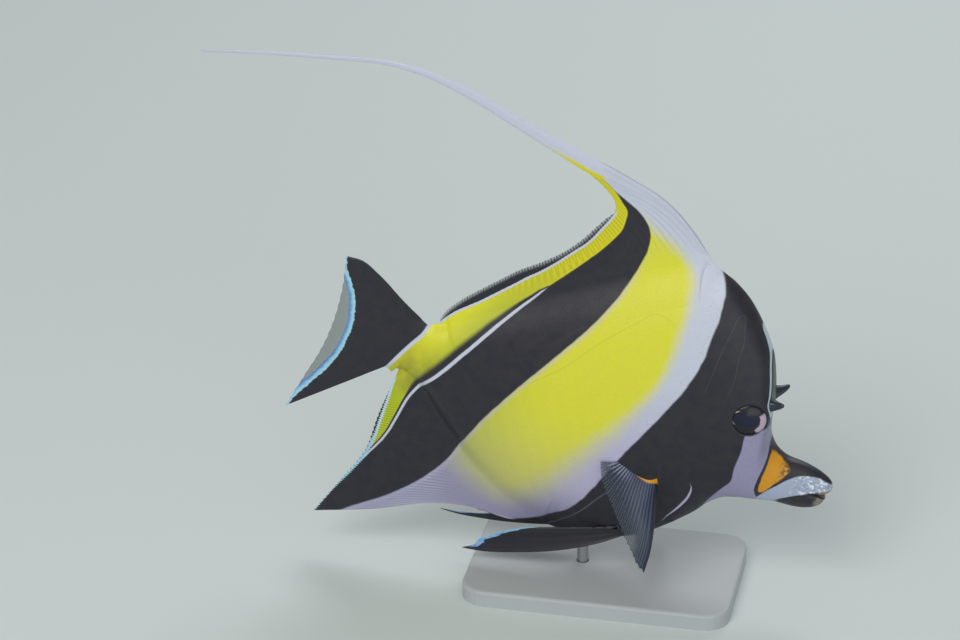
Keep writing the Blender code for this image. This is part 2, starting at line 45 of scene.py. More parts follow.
# World place: the fish frame turned nose down by the pitch, then moved to the snout tip, in metres.
def fishToWorld(points):
    back, side, up = points[..., 0], points[..., 1], points[..., 2]
    c, s = math.cos(pose["pitch"]), math.sin(pose["pitch"])
    placed = (pose["snoutX"] - back * c + up * s, side, pose["snoutZ"] + back * s + up * c)
    return np.stack(placed, axis=-1) * pose["metres"]


# Smooth step: 0 below low, 1 above high, and 3x^2 - 2x^3 between them.
def smoothStep(low, high, values):
    x = np.clip((values - low) / (high - low), 0.0, 1.0)
    return x * x * (3 - 2 * x)


# Curve through points: cubic Hermite spans, with slopes taken from each point's neighbours by length.
class Curve:
    def __init__(self, points, measured=None):
        self.points = np.array(points, float)
        steps = np.linalg.norm(np.diff(self.points[:, :measured], axis=0), axis=1)
        self.knots = np.concatenate(([0.0], np.cumsum(steps))) / steps.sum()
        self.slopes = np.gradient(self.points, self.knots, axis=0)
        self.length = steps.sum()

    def at(self, t):
        t = np.asarray(t, float)
        i = np.clip(np.searchsorted(self.knots, t, side="right") - 1, 0, len(self.knots) - 2)
        span = self.knots[i + 1] - self.knots[i]
        f = ((t - self.knots[i]) / span)[..., None]
        leave, arrive = self.slopes[i] * span[..., None], self.slopes[i + 1] * span[..., None]
        return (self.points[i] * (1 + 2 * f) * (1 - f) ** 2 + leave * f * (1 - f) ** 2
                + self.points[i + 1] * f * f * (3 - 2 * f) + arrive * f * f * (f - 1))


# Signed distance in the middle plane: along the normal at the nearest of many points of a curve,
# positive on the curve's left as it runs. Also gives how far along the curve, 0 to 1, that point is.
def besideCurve(plane, curve, samples=320):
    t = np.linspace(0, 1, samples)
    line = curve.at(t)[:, :2]
    slope = np.gradient(line, axis=0)
    slope /= np.linalg.norm(slope, axis=1, keepdims=True)
    normal = np.stack((-slope[:, 1], slope[:, 0]), axis=1)
    flat = plane.reshape(-1, 2)
    small, size = line.astype(np.float32), (line ** 2).sum(1).astype(np.float32)
    distance, along = np.empty(len(flat)), np.empty(len(flat))
    for start in range(0, len(flat), 20000):
        part = flat[start:start + 20000]
        nearest = (size[None, :] - 2 * part.astype(np.float32) @ small.T).argmin(axis=1)
        distance[start:start + 20000] = ((part - line[nearest]) * normal[nearest]).sum(1)
        along[start:start + 20000] = t[nearest]
    return distance.reshape(plane.shape[:-1]), along.reshape(plane.shape[:-1])


# Signed distance to a closed patch, positive inside: distance to its smooth outline, signed by a
# crossing count along each row.
def insidePatch(plane, points):
    closed = Curve(points + points[:1])
    line = closed.at(np.linspace(0, 1, 400))[:, :2]
    flat = plane.reshape(-1, 2)
    near = np.empty(len(flat))
    inside = np.zeros(len(flat), bool)
    for start in range(0, len(flat), 20000):
        part = flat[start:start + 20000]
        gaps = (part ** 2).sum(1)[:, None] - 2 * part @ line.T + (line ** 2).sum(1)[None, :]
        near[start:start + 20000] = np.sqrt(np.maximum(gaps.min(axis=1), 0))
        a, b = line[:-1], line[1:]
        y = part[:, 1][:, None]
        crosses = (a[None, :, 1] > y) != (b[None, :, 1] > y)
        rise = np.where(np.abs(b[:, 1] - a[:, 1]) < 1e-9, 1e-9, b[:, 1] - a[:, 1])
        meet = a[None, :, 0] + (y - a[None, :, 1]) / rise[None, :] * (b[:, 0] - a[:, 0])[None, :]
        inside[start:start + 20000] = ((crosses & (meet > part[:, 0][:, None])).sum(1) % 2).astype(bool)
    return np.where(inside, near, -near).reshape(plane.shape[:-1])


# Body stations from the snout to the tail root: outline point on the back (back, up), outline point
# on the belly (back, up), half width, and fullness of the section.
body = {
    "stations": [
        (0.0, -1.0, 0.5, -9.2, 1.7, 0.80), (3.4, 2.4, 2.0, -11.4, 3.0, 0.80),
        (7.3, 3.7, 5.5, -13.3, 3.8, 0.80), (13.3, 3.7, 11.5, -13.7, 4.8, 0.80),
        (19.4, 4.1, 17.6, -14.1, 6.2, 0.80), (23.5, 6.2, 21.0, -14.7, 7.6, 0.75),
        (26.3, 9.7, 23.6, -15.1, 8.8, 0.70), (27.8, 15.0, 26.1, -15.7, 9.8, 0.70),
        (29.3, 23.5, 28.6, -16.3, 10.6, 0.70), (31.5, 31.0, 31.6, -17.6, 11.2, 0.75),
        (35.5, 40.5, 35.0, -19.6, 11.6, 0.85), (41.7, 49.0, 38.9, -24.0, 12.0, 0.95),
        (48.8, 56.3, 42.2, -29.3, 12.5, 1.00), (56.0, 61.0, 47.0, -35.2, 13.0, 1.05),
        (61.5, 63.5, 51.1, -39.7, 13.3, 1.05), (67.0, 65.7, 56.2, -44.6, 13.5, 1.10),
        (77.8, 60.6, 65.5, -50.4, 13.5, 1.10), (89.5, 52.8, 76.4, -54.1, 13.0, 1.10),
        (101.0, 44.5, 89.4, -55.3, 12.0, 1.10), (116.5, 32.4, 105.6, -51.5, 10.2, 1.10),
        (131.0, 20.9, 123.0, -41.7, 8.2, 1.10), (141.0, 12.1, 138.7, -28.3, 6.0, 1.05),
        (147.7, 7.3, 149.3, -18.5, 4.4, 1.00), (150.9, 5.5, 156.4, -15.9, 3.1, 1.00),
        (152.4, 4.7, 162.2, -16.7, 2.0, 1.00)],
    "mouthEnd": 3,            # station where the snout's own shape runs into the body's
    "dorsalStart": 14.5, "dorsalEnd": 22.4, "analStart": 17.6, "analEnd": 23.2,
    "finEdge": 2.9,           # fullness at the ridges that carry fins, so the flesh runs into the fin
    "wedge": [(0.8, 0.93), (1.8, 0.83), (3.0, 0.69), (4.4, 0.52), (6.0, 0.34), (8.0, 0.14), (9.5, 0.02)],
    "rowsPerStation": 17,
    "columns": 208,
    "mouthRows": 44,
    "insideRows": 12,
}
bodyCurve = Curve(body["stations"], measured=4)
stationKnots = bodyCurve.knots


# Station number at t, counted along the list.
def stationAt(t):
    return np.interp(t, stationKnots, np.arange(len(stationKnots)))


# Body surface: share of the chord from belly to back is (1 - cos a) / 2, and half width is the
# station's times |sin a| to a fullness that rises towards ridges with fins.
def bodySurface(t, a):
    row = bodyCurve.at(t)
    share = 0.5 - 0.5 * np.cos(a)
    station = stationAt(t)
    onBack = smoothStep(body["dorsalStart"] - 1.5, body["dorsalStart"] + 0.8, station)
    onBelly = smoothStep(body["analStart"] - 1.5, body["analStart"] + 0.8, station)
    onBack = onBack * (1 - smoothStep(body["dorsalEnd"], body["dorsalEnd"] + 1.0, station))
    onBelly = onBelly * (1 - smoothStep(body["analEnd"], body["analEnd"] + 0.8, station))
    edge = np.where(share > 0.5, onBack, onBelly) * (body["finEdge"] - row[..., 5])
    fullness = row[..., 5] + edge * np.abs(np.cos(a)) ** 4
    width = row[..., 4] * np.abs(np.sin(a)) ** fullness * np.sign(np.sin(a))
    back = row[..., 2] + share * (row[..., 0] - row[..., 2])
    up = row[..., 3] + share * (row[..., 1] - row[..., 3])
    return np.stack((back, width, up), axis=-1)


tailTop, tailLow = (np.array(body["stations"][-1][k:k + 2]) for k in (0, 2))
tailward = np.array((tailTop[1] - tailLow[1], tailLow[0] - tailTop[0])) / np.linalg.norm(tailTop - tailLow)


# Half width of the skin at places seen from the side: t is found by halving, then the section's own
# formula gives the width.
def skinHalf(back, up):
    low, high = np.zeros_like(back), np.ones_like(back)
    for step in range(36):
        t = (low + high) / 2
        row = bodyCurve.at(t)
        share = (up - row[..., 3]) / (row[..., 1] - row[..., 3])
        ahead = row[..., 2] + share * (row[..., 0] - row[..., 2]) < back
        low, high = np.where(ahead, t, low), np.where(ahead, high, t)
    a = np.arccos(np.clip(1 - 2 * share, -1, 1))
    return bodySurface(t, a)[..., 1]


# Normals of a grid that closes round its columns, by crossing its two slopes.
def gridNormals(grid, closed=True):
    rows = np.gradient(grid, axis=0)
    if closed:
        columns = np.roll(grid, -1, axis=1) - np.roll(grid, 1, axis=1)
    else:
        columns = np.gradient(grid, axis=1)
    normal = np.cross(rows, columns)
    return normal / np.maximum(np.linalg.norm(normal, axis=-1, keepdims=True), 1e-9)


# Quads of a grid of points; closed joins the last column to the first.
def gridFaces(rows, columns, closed):
    r, c = np.meshgrid(np.arange(rows - 1), np.arange(columns if closed else columns - 1), indexing="ij")
    a = r * columns + c
    b = r * columns + (c + 1) % columns
    return np.stack((a, b, b + columns, a + columns), axis=-1).reshape(-1, 4)


# Mesh object from points in the fish frame, with quads and triangles, named attributes and smooth faces.
def makePiece(name, points, quads, triangles, fields, paint, uv=None):
    world = fishToWorld(points)
    loops = np.concatenate((quads.ravel(), triangles.ravel())).astype(np.int32)
    sizes = np.concatenate((np.full(len(quads), 4), np.full(len(triangles), 3))).astype(np.int32)
    starts = np.concatenate(([0], np.cumsum(sizes)[:-1])).astype(np.int32)
    mesh = bpy.data.meshes.new(name)
    mesh.vertices.add(len(world))
    mesh.loops.add(len(loops))
    mesh.polygons.add(len(sizes))
    mesh.vertices.foreach_set("co", world.astype(np.float32).ravel())
    mesh.loops.foreach_set("vertex_index", loops)
    mesh.polygons.foreach_set("loop_start", starts)
    mesh.polygons.foreach_set("use_smooth", np.ones(len(sizes), bool))
    mesh.update(calc_edges=True)
    mesh.validate()
    for label, values in fields.items():
        layer = mesh.attributes.new(label, "FLOAT", "POINT")
        layer.data.foreach_set("value", np.asarray(values, np.float32).ravel())
    if uv is not None:
        layer = mesh.uv_layers.new(name="OFBake")
        layer.data.foreach_set("uv", uv[loops].astype(np.float32).ravel())
    mesh.materials.append(paint)
    piece = bpy.data.objects.new(name, mesh)
    bpy.context.scene.collection.objects.link(piece)
    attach(piece, "root")
    return piece


# Sum of signed volumes of the faces: positive where they face outwards.
def facesOut(points, quads, triangles):
    corners = np.concatenate((points[quads[:, [0, 1, 2]]], points[quads[:, [0, 2, 3]]], points[triangles]))
    return np.einsum("ij,ij->i", corners[:, 0], np.cross(corners[:, 1], corners[:, 2])).sum() > 0


# Closed shell from a grid of rings: quads between the rings and a fan of triangles to a point at each
# end, all turned outwards.
def closedShell(grid, ends):
    rows, columns = grid.shape[:2]
    points = np.concatenate((grid.reshape(-1, 3), ends))
    quads = gridFaces(rows, columns, True)
    c, last = np.arange(columns), (rows - 1) * columns
    ahead = (c + 1) % columns
    firstFan = np.stack((np.full(columns, rows * columns), ahead, c), axis=1)
    lastFan = np.stack((np.full(columns, rows * columns + 1), last + c, last + ahead), axis=1)
    triangles = np.concatenate((firstFan, lastFan))
    if not facesOut(points, quads, triangles):
        quads, triangles = quads[:, ::-1], triangles[:, ::-1]
    return points, quads, triangles


# Fields of a shell, one value a grid point, with the first and last given to its two end points too.
def endedFields(fields):
    flat = {key: np.asarray(values).ravel() for key, values in fields.items()}
    return {key: np.concatenate((values, values[:1], values[-1:])) for key, values in flat.items()}


# UV map of a shell: u is the share round it and v the share along it, with the end points at u = 0.5.
def shellUv(columns, along):
    u, v = np.tile(np.arange(columns) / columns, len(along)), np.repeat(along, columns)
    return np.concatenate((np.stack((u, v), axis=1), np.array(((0.5, 0.0), (0.5, 1.0)))))


# Places of the markings as curves of the middle plane (back, up), drawn where they lie on the skin.
marks = {
    "rearBandFront": [(124.0, 85.6), (114.0, 82.0), (106.0, 78.6), (101.6, 76.9), (98.4, 75.6),
                      (93.2, 72.9), (89.1, 68.4), (87.8, 62.0), (88.6, 55.0), (91.6, 43.6),
                      (97.6, 29.8), (106.5, 13.6), (115.2, -2.6), (123.4, -19.9),
                      (127.6, -32.0), (131.3, -44.0), (138.5, -55.9), (149.1, -67.8), (159.4, -76.6),
                      (168.0, -84.5)],
    "rearBandBack": [(124.0, 86.2), (114.0, 82.6), (108.0, 80.0), (104.4, 77.9), (101.1, 75.0),
                     (98.5, 72.4), (98.1, 69.3), (98.2, 65.7), (100.9, 59.0), (105.7, 50.8), (110.7, 43.3),
                     (115.6, 36.2), (119.8, 28.9), (124.8, 21.1), (129.6, 13.2), (135.2, 3.2),
                     (142.2, -9.6), (147.4, -17.8), (150.9, -26.3), (152.4, -34.0), (154.6, -43.6),
                     (158.0, -51.4), (163.2, -62.0), (169.5, -78.0)],
    "frontBand": [(66.6, 68.6), (65.4, 66.4), (61.3, 63.3), (58.2, 58.8), (56.9, 51.5), (57.1, 43.8),
                  (57.2, 34.3), (58.9, 25.1), (64.6, 8.9), (72.6, -11.1), (77.0, -24.2),
                  (80.7, -34.9), (84.8, -43.0), (89.0, -48.0), (94.2, -53.2), (100.6, -57.0), (108.0, -60.6)],
    "yellow": [(95.0, 76.0), (88.0, 71.2), (80.0, 68.4), (72.1, 63.6), (68.0, 58.5), (66.4, 50.0),
               (65.6, 38.0), (66.3, 23.4), (69.3, 12.0), (74.5, -0.7), (80.4, -12.0), (86.4, -23.7),
               (92.2, -36.0), (97.9, -44.5), (104.9, -50.4), (112.6, -51.7), (121.0, -49.4), (127.4, -46.3),
               (132.5, -41.0), (137.0, -34.0)],
    "cheekRear": [(33.6, 15.6), (34.6, 13.0), (34.2, 5.5), (34.4, -2.0), (34.1, -8.6), (35.6, -11.8),
                  (39.0, -20.0), (40.5, -26.0)],
    "cheekFront": [(30.0, 24.0), (28.4, 18.0), (27.2, 13.6), (25.7, 8.0), (25.1, 5.0), (25.2, 0.6),
                   (25.6, -4.1), (25.4, -8.7), (23.4, -13.0), (22.0, -18.0)],
    "saddle": [(24.2, 6.6), (21.9, 5.1), (18.7, 3.4), (16.4, 2.2), (15.5, 1.0), (16.3, -0.8), (18.2, -3.6),
               (20.4, -7.0), (22.0, -9.0), (23.3, -9.4), (24.2, -7.6), (24.4, -3.0), (24.0, 1.4),
               (24.3, 4.4)],
    "lipTop": [(27.5, -16.5), (24.4, -12.8), (22.2, -9.4), (20.2, -6.8), (18.0, -4.5), (15.9, -2.4),
               (12.8, -0.1), (9.6, 1.1), (5.1, 1.5), (1.2, 0.3), (-1.5, -0.8)],
    "lipLow": [(23.0, -14.5), (18.0, -12.0), (14.6, -9.6), (10.5, -7.0), (7.2, -5.2), (4.0, -3.6),
               (0.6, -2.2), (-1.5, -1.4)],
    "gillArc": [(48.6, -12.0), (46.2, -15.0), (45.9, -19.9), (47.4, -25.0), (50.4, -31.4), (54.4, -37.9)],
    "headLine": [(53.1, 20.0), (52.8, 27.1), (52.3, 37.2), (51.2, 47.5), (50.4, 52.0), (49.4, 52.6),
                 (47.5, 48.6), (46.0, 43.5), (45.8, 38.6), (44.8, 29.8), (45.3, 23.2), (45.9, 18.5)],
    "flankLine": [(66.0, 36.0), (71.0, 42.4), (77.0, 43.4), (83.8, 36.8), (92.0, 27.0), (104.0, 10.0),
                  (120.0, -4.0), (136.0, -8.0), (150.0, -7.4), (162.0, -8.2)],
    "bellyLine": [(71.0, -24.5), (76.0, -33.0), (79.1, -39.4), (82.8, -46.0), (87.6, -52.6), (92.0, -57.5)],
    "bridle": [(43.2, 51.6), (41.3, 48.6), (39.1, 45.8), (36.5, 41.8), (34.4, 36.5), (32.6, 31.5),
               (31.4, 27.1), (30.9, 24.3), (29.3, 21.0), (28.2, 18.0), (28.0, 15.5)],
    "gillCover": [(56.0, 8.0), (58.4, 0.0), (59.0, -8.0), (57.4, -16.0), (56.2, -22.0), (54.4, -29.0),
                  (49.0, -34.0), (42.0, -30.5), (36.0, -22.0)],
    "tailLine": [(150.9, 7.4), (151.7, 4.6), (152.6, 1.8), (155.4, -3.4), (158.4, -9.4), (160.4, -14.0),
                 (161.9, -17.6), (163.4, -22.4)],
}

# Behind the rear band, at heights along it: width of the pale line, of the dark one, and of its fade.
lineWidths = {
    "up": [-62, -51, -41, -26, -17.5, -9, 4, 14, 21, 28, 33, 36.5],
    "paleLine": [0.5, 0.7, 0.8, 0.9, 1.15, 1.3, 1.3, 1.15, 1.0, 0.85, 0.6, -0.5],
    "darkLine": [0.2, 0.3, 0.4, 0.6, 1.2, 1.6, 1.4, 1.1, 0.9, 0.7, 0.4, 0.2],
    "darkFade": [0.3, 0.3, 0.4, 0.5, 1.6, 2.4, 2.4, 1.8, 1.4, 1.0, 0.8, 0.8],
}


# Marking fields of a piece: for each curve the signed distance in millimetres, and the widths of the
# lines behind the rear band, which change with height.
def markFields(points):
    plane = points[..., [0, 2]]
    fields = {}
    for name in ("rearBandFront", "rearBandBack", "frontBand", "yellow", "cheekRear", "cheekFront",
                 "lipTop", "lipLow", "flankLine", "bellyLine", "tailLine"):
        fields[name] = besideCurve(plane, Curve(marks[name]))[0]
    for name in ("paleLine", "darkLine", "darkFade"):
        fields[name] = np.interp(plane[..., 1], lineWidths["up"], lineWidths[name])
    fields["gillArc"], along = besideCurve(plane, Curve(marks["gillArc"]))
    fields["gillArcHalf"] = 1.2 * np.sin(np.pi * along) ** 0.6 * (1 - 0.35 * along) - 0.5  # thin at both ends
    fields["headLine"], along = besideCurve(plane, Curve(marks["headLine"]))
    fields["headLineEnd"] = smoothStep(0.0, 0.15, along) * (1 - smoothStep(0.85, 1.0, along))
    fields["bridle"], along = besideCurve(plane, Curve(marks["bridle"]))
    fields["bridleEnd"] = smoothStep(0.0, 0.06, along) * (1 - smoothStep(0.93, 0.99, along))
    fields["saddle"] = insidePatch(plane, marks["saddle"])
    fields["back"], fields["up"] = plane[..., 0], plane[..., 1]
    return fields


# Colour as 0 to 255 display values, turned into the linear values that shading works in.
def tint(red, green, blue):
    values = np.array((red, green, blue)) / 255.0
    linear = np.where(values <= 0.04045, values / 12.92, ((values + 0.055) / 1.055) ** 2.4)
    return (*linear.tolist(), 1.0)


# One output socket of a material, with arithmetic as math nodes.
class Value:
    def __init__(self, tree, socket):
        self.tree, self.socket = tree, socket

    def run(self, operation, *others, clamp=False):
        node = self.tree.nodes.new("ShaderNodeMath")
        node.operation, node.use_clamp = operation, clamp
        for slot, item in zip(node.inputs, (self, *others)):
            if isinstance(item, Value):
                self.tree.links.new(item.socket, slot)
            else:
                slot.default_value = item
        return Value(self.tree, node.outputs[0])

    def swapped(self, operation, first):
        node = self.tree.nodes.new("ShaderNodeMath")
        node.operation = operation
        node.inputs[0].default_value = first
        self.tree.links.new(self.socket, node.inputs[1])
        return Value(self.tree, node.outputs[0])

    def __add__(self, other):
        return self.run("ADD", other)

    def __radd__(self, other):
        return self.run("ADD", other)

    def __sub__(self, other):
        return self.run("SUBTRACT", other)

    def __rsub__(self, other):
        return self.swapped("SUBTRACT", other)

    def __mul__(self, other):
        return self.run("MULTIPLY", other)

    def __rmul__(self, other):
        return self.run("MULTIPLY", other)

    def __truediv__(self, other):
        return self.run("DIVIDE", other)

    def __rtruediv__(self, other):
        return self.swapped("DIVIDE", other)

    def __pow__(self, other):
        return self.run("POWER", other)

    def __abs__(self):
        return self.run("ABSOLUTE")


# A material and the nodes that it is built from.
class Finish:
    def __init__(self, name):
        self.material = bpy.data.materials.new(name)
        self.material.use_nodes = True
        self.tree = self.material.node_tree
        self.shader = self.tree.nodes["Principled BSDF"]
        self.output = self.tree.nodes["Material Output"]

    # Adds a node: its settings first, then its sockets by name, or by number as n0, n1 and so on.
    def node(self, kind, settings=None, outlet=0, **inputs):
        made = self.tree.nodes.new(kind)
        for key, item in (settings or {}).items():
            setattr(made, key, item)
        for key, item in inputs.items():
            slot = made.inputs[int(key[1:])] if key[0] == "n" and key[1:].isdigit() else made.inputs[key]
            if isinstance(item, Value):
                self.tree.links.new(item.socket, slot)
            else:
                slot.default_value = item
        return Value(self.tree, made.outputs[outlet])

    def field(self, name):
        return self.node("ShaderNodeAttribute", {"attribute_name": name}, outlet=2)

    def place(self):
        return self.node("ShaderNodeTexCoord", outlet=3)

    def noise(self, scale, detail=2.0, where=None):
        where = where or self.place()
        return self.node("ShaderNodeTexNoise", Vector=where, Scale=scale, Detail=detail)

    # Rises from 0 to 1 as the value goes from low to high.
    def rise(self, value, low, high):
        settings = {"interpolation_type": "SMOOTHSTEP"}
        return self.node("ShaderNodeMapRange", settings, n0=value, n1=low, n2=high)

    # Colour a where the factor is 0, and b where it is 1.
    def mix(self, factor, a, b):
        return self.node("ShaderNodeMix", {"data_type": "RGBA"}, outlet=2, n0=factor, n6=a, n7=b)

    def bump(self, height, distance, strength=1.0):
        return self.node("ShaderNodeBump", Height=height, Distance=distance, Strength=strength)

    def put(self, slot, item):
        if isinstance(item, Value):
            self.tree.links.new(item.socket, self.shader.inputs[slot])
        else:
            self.shader.inputs[slot].default_value = item


# Grain and gloss of skin and fins: pattern sizes per metre, relief in metres.
gloss = {"grain": 1900.0, "scales": 900.0, "relief": 0.00012, "strength": 0.55,
         "roughness": 0.44, "spread": 0.16, "coat": 0.12, "coatRoughness": 0.3}


# Height of the skin's relief: small scales as the distance to the edge of their cells, and grain.
def scaleHeight(paint, fine):
    scales = paint.node("ShaderNodeTexVoronoi", {"feature": "DISTANCE_TO_EDGE"}, Vector=paint.place(),
                        Scale=gloss["scales"])
    return scales * 0.5 + fine * 0.6


# Satin coat over a colour and a relief: roughness rises with the grain from its base by its spread.
def satinCoat(paint, color, fine, height):
    paint.put("Base Color", color)
    paint.put("Roughness", paint.rise(fine, 0.2, 0.9) * gloss["spread"] + gloss["roughness"])
    paint.put("Coat Weight", gloss["coat"])
    paint.put("Coat Roughness", gloss["coatRoughness"])
    paint.put("Normal", paint.bump(height, gloss["relief"], gloss["strength"]))


fishColors = {
    "black": tint(23, 24, 40), "brownBlack": tint(38, 34, 41), "white": tint(200, 205, 220),
    # On the next line, the darker lavender is painted shade low on the flank, and the tone of fin membranes
    # between rays.
    "lavender": tint(184, 180, 210), "shadeAndMembrane": tint(146, 143, 172), "yellow": tint(222, 220, 38),
    "deepYellow": tint(218, 210, 2), "green": tint(186, 192, 44), "olive": tint(122, 116, 26),
    "orange": tint(214, 148, 10), "cheek": tint(142, 138, 170), "cyan": tint(160, 208, 226),
    # The mouth tone on the next line is the mouth's lining, darkened nearly to black as painted shade.
    "blue": tint(78, 138, 212), "strip": tint(86, 98, 84), "lip": tint(168, 176, 200),
    "beige": tint(132, 122, 108), "mouth": tint(40, 26, 28), "ray": tint(160, 166, 190),
    "clearGrey": tint(100, 116, 116),
}


# Colour of the flank: white, then yellow by soft edges with painted shade low down, black bands over
# them, then the pale and dark lines behind the rear band, and the black tail beyond its white line.
def flankColor(paint):
    mottle = paint.noise(260.0, 4.0)
    fine = paint.noise(gloss["grain"], 2.0)
    up, back = paint.field("up"), paint.field("back")
    # Pale ground and yellow, whose edge is wider and softer low down, both with painted shade towards the
    # belly.
    yellow = paint.field("yellow") + (mottle - 0.5) * 3.0 + paint.rise(up, 10.0, -30.0) * 2.5
    reach = 5.0 + paint.rise(up, 25.0, -35.0) * 8.0
    pale = paint.mix(paint.rise(up, 30.0, -25.0), fishColors["white"], fishColors["lavender"])
    # Painted shade: the pale ground and the yellow turn to a darker lavender towards the belly.
    pale = paint.mix(paint.rise(up, -25.0, -55.0), pale, fishColors["shadeAndMembrane"])
    warm = paint.mix(paint.rise(back, 100.0, 140.0), fishColors["yellow"], fishColors["green"])
    warm = paint.mix(paint.rise(up, 0.0, -55.0) * 0.38, warm, fishColors["shadeAndMembrane"])
    yellow = paint.rise(yellow / reach, -0.3, 1.0) * paint.rise(up, 76.0, 70.5)
    color = paint.mix(yellow, pale, warm)
    color = paint.mix(paint.rise(fine, 0.35, 0.75) * 0.10, color, fishColors["cheek"])
    bandFront = paint.field("rearBandFront") + (mottle - 0.5) * 0.5
    rim = paint.rise(bandFront, -2.2, -0.4) * paint.rise(up, 66.0, 40.0) * 0.4
    color = paint.mix(rim, color, fishColors["lavender"])
    # Behind the rear band: yellow green with a shaded root of the tail, then the two thin lines.
    behind = paint.field("rearBandBack") + (mottle - 0.5) * 0.3
    tailward = paint.mix(paint.rise(behind, 2.0, 12.0), fishColors["green"], fishColors["yellow"])
    shade = paint.rise(back, 136.0, 149.0) * paint.rise(up, 4.0, -12.0) * paint.rise(mottle, -0.2, 1.0)
    tailward = paint.mix(shade * 0.7, tailward, fishColors["olive"])
    tailward = paint.mix(paint.rise(up, 20.0, 50.0), tailward, fishColors["deepYellow"])
    dark = paint.mix(paint.rise(mottle, 0.25, 0.75), fishColors["black"], fishColors["brownBlack"])
    paleLine, darkLine, darkFade = (paint.field(n) for n in ("paleLine", "darkLine", "darkFade"))
    fromPale = behind - paleLine
    tailward = paint.mix(paint.rise((fromPale - darkLine) / darkFade, 1.0, 0.0), tailward, dark)
    lined = paint.mix(paint.rise(fromPale, -0.2, 0.2), fishColors["white"], tailward)
    color = paint.mix(paint.rise(bandFront, -0.35, 0.35), color, dark)
    color = paint.mix(paint.rise(behind, -0.2, 0.2), color, lined)
    base = paint.field("tailLine")
    color = paint.mix(paint.rise(base, -0.75, -0.4), color, fishColors["white"])
    return paint.mix(paint.rise(base, 0.5, 0.85), color, dark), dark, mottle, fine


# Skin colour: the flank, then the black front band with its thin pale lines, the cheek band, the
# saddle on the snout, the pale lip and the dark jaw.
def skinFinish():
    paint = Finish("idol_skin")
    color, dark, mottle, fine = flankColor(paint)
    up, back = paint.field("up"), paint.field("back")
    front = paint.field("frontBand") + (mottle - 0.5) * 0.8
    ahead = paint.rise(front, 0.45, -0.45)
    color = paint.mix(ahead, color, dark)
    # Thin lines and flecks on and beside the front band.
    faint = paint.mix(0.35, dark, fishColors["lavender"])
    flecks = paint.rise(paint.noise(1500.0, 1.0), 0.66, 0.74) * paint.rise(front, 7.0, 2.0)
    color = paint.mix(flecks * paint.rise(front, 0.4, 1.0) * 0.35, color, fishColors["strip"])
    lineMask = paint.rise(abs(paint.field("headLine")), 0.3, 0.1) * paint.field("headLineEnd") * 0.1
    color = paint.mix(lineMask, color, faint)
    bellyMask = paint.rise(abs(paint.field("bellyLine")), 0.4, 0.1) * ahead * 0.6
    color = paint.mix(bellyMask * paint.rise(up, -22.0, -28.0) * 0.7, color, faint)
    flankMask = paint.rise(abs(paint.field("flankLine")), 0.4, 0.1) * paint.rise(back, 68.0, 72.0) * 0.1
    flankMask = flankMask * paint.rise(paint.field("rearBandFront"), 0.0, -0.8)
    color = paint.mix(flankMask, color, fishColors["olive"])
    arc = paint.rise(abs(paint.field("gillArc")) - paint.field("gillArcHalf"), 0.1, -0.2)
    color = paint.mix(arc, color, fishColors["lavender"])
    # Cheek, snout and its orange saddle.
    cheek = paint.rise(paint.field("cheekRear"), 0.25, -0.25)
    cheekTone = paint.mix((fine - 0.3) * 0.6, fishColors["cheek"], fishColors["lavender"])
    color = paint.mix(cheek * paint.rise(up, 16.5, 15.0), color, cheekTone)
    snout = paint.rise(paint.field("cheekFront"), 0.0, -0.3)
    color = paint.mix(snout * paint.rise(up, 22.0, 19.0), color, dark)
    saddle = paint.field("saddle") + (mottle - 0.5) * 1.2
    speck = paint.rise(paint.noise(900.0, 3.0), 0.35, 0.7)
    worn = paint.mix(speck * paint.rise(back, 20.5, 16.5), fishColors["orange"], fishColors["brownBlack"])
    color = paint.mix(paint.rise(saddle, -0.1, 0.5), color, worn)
    # Pale upper lip with painted highlights of wet shine, dark jaw with a worn tip.
    lip = paint.field("lipTop") + (mottle - 0.5) * 0.6
    spots = paint.rise(paint.noise(1100.0, 3.0), 0.42, 0.62) * paint.rise(back, 17.0, 9.0)
    lipTone = paint.mix(spots * 0.55, fishColors["lip"], tint(120, 138, 158))
    # Painted highlight: near-white specks of wet shine towards the front of the lip.
    shine = paint.rise(paint.noise(800.0, 4.0), 0.52, 0.62) * paint.rise(back, 15.0, 9.0)
    lipTone = paint.mix(shine * 0.8, lipTone, tint(232, 238, 244))
    color = paint.mix(paint.rise(lip, 0.0, 0.5) * paint.rise(back, 24.0, 23.0), color, lipTone)
    jaw = paint.rise(paint.field("lipLow"), -0.1, 0.4) * paint.rise(back, 18.0, 15.5)
    color = paint.mix(jaw, color, dark)
    tip = paint.rise(back + (mottle - 0.5) * 3.0, 4.6, 3.2) * jaw * paint.rise(up, -10.2, -9.0)
    color = paint.mix(tip, color, fishColors["beige"])
    # Edged strip from the brow up the forehead.
    bridle = paint.field("bridle")
    strip = paint.rise(bridle, 0.2, -0.3) * paint.field("bridleEnd")
    color = paint.mix(strip, color, fishColors["strip"])
    outline = paint.rise(abs(bridle), 0.75, 0.5) * paint.field("bridleEnd")
    color = paint.mix(outline, color, fishColors["black"])
    line = paint.rise(abs(bridle), 0.30, 0.18) * paint.field("bridleEnd")
    color = paint.mix(line, color, tint(190, 206, 214))
    # Painted shade: the socket under the eyeball and round its edge is painted black.
    color = paint.mix(paint.field("socket"), color, fishColors["black"])
    # Inside the mouth: its lining darkened nearly to black as painted shade.
    color = paint.mix(paint.field("mouthInside"), color, fishColors["mouth"])
    satinCoat(paint, color, fine, scaleHeight(paint, fine))
    return paint.material


# Lip line of the parted mouth: from each corner forwards over the upper lip and under the lower one,
# as one closed loop of the same columns as the body.
mouth = {
    "corner": (7.0, 3.5, -5.4), "upperTip": (-0.1, -1.7), "lowerTip": (1.0, -6.6), "deep": (11.0, -5.6),
    "cornerAngle": 1.42,      # column angle that meets the corner
    "round": 0.55, "liftTop": 2.9, "liftLow": 3.8,
}


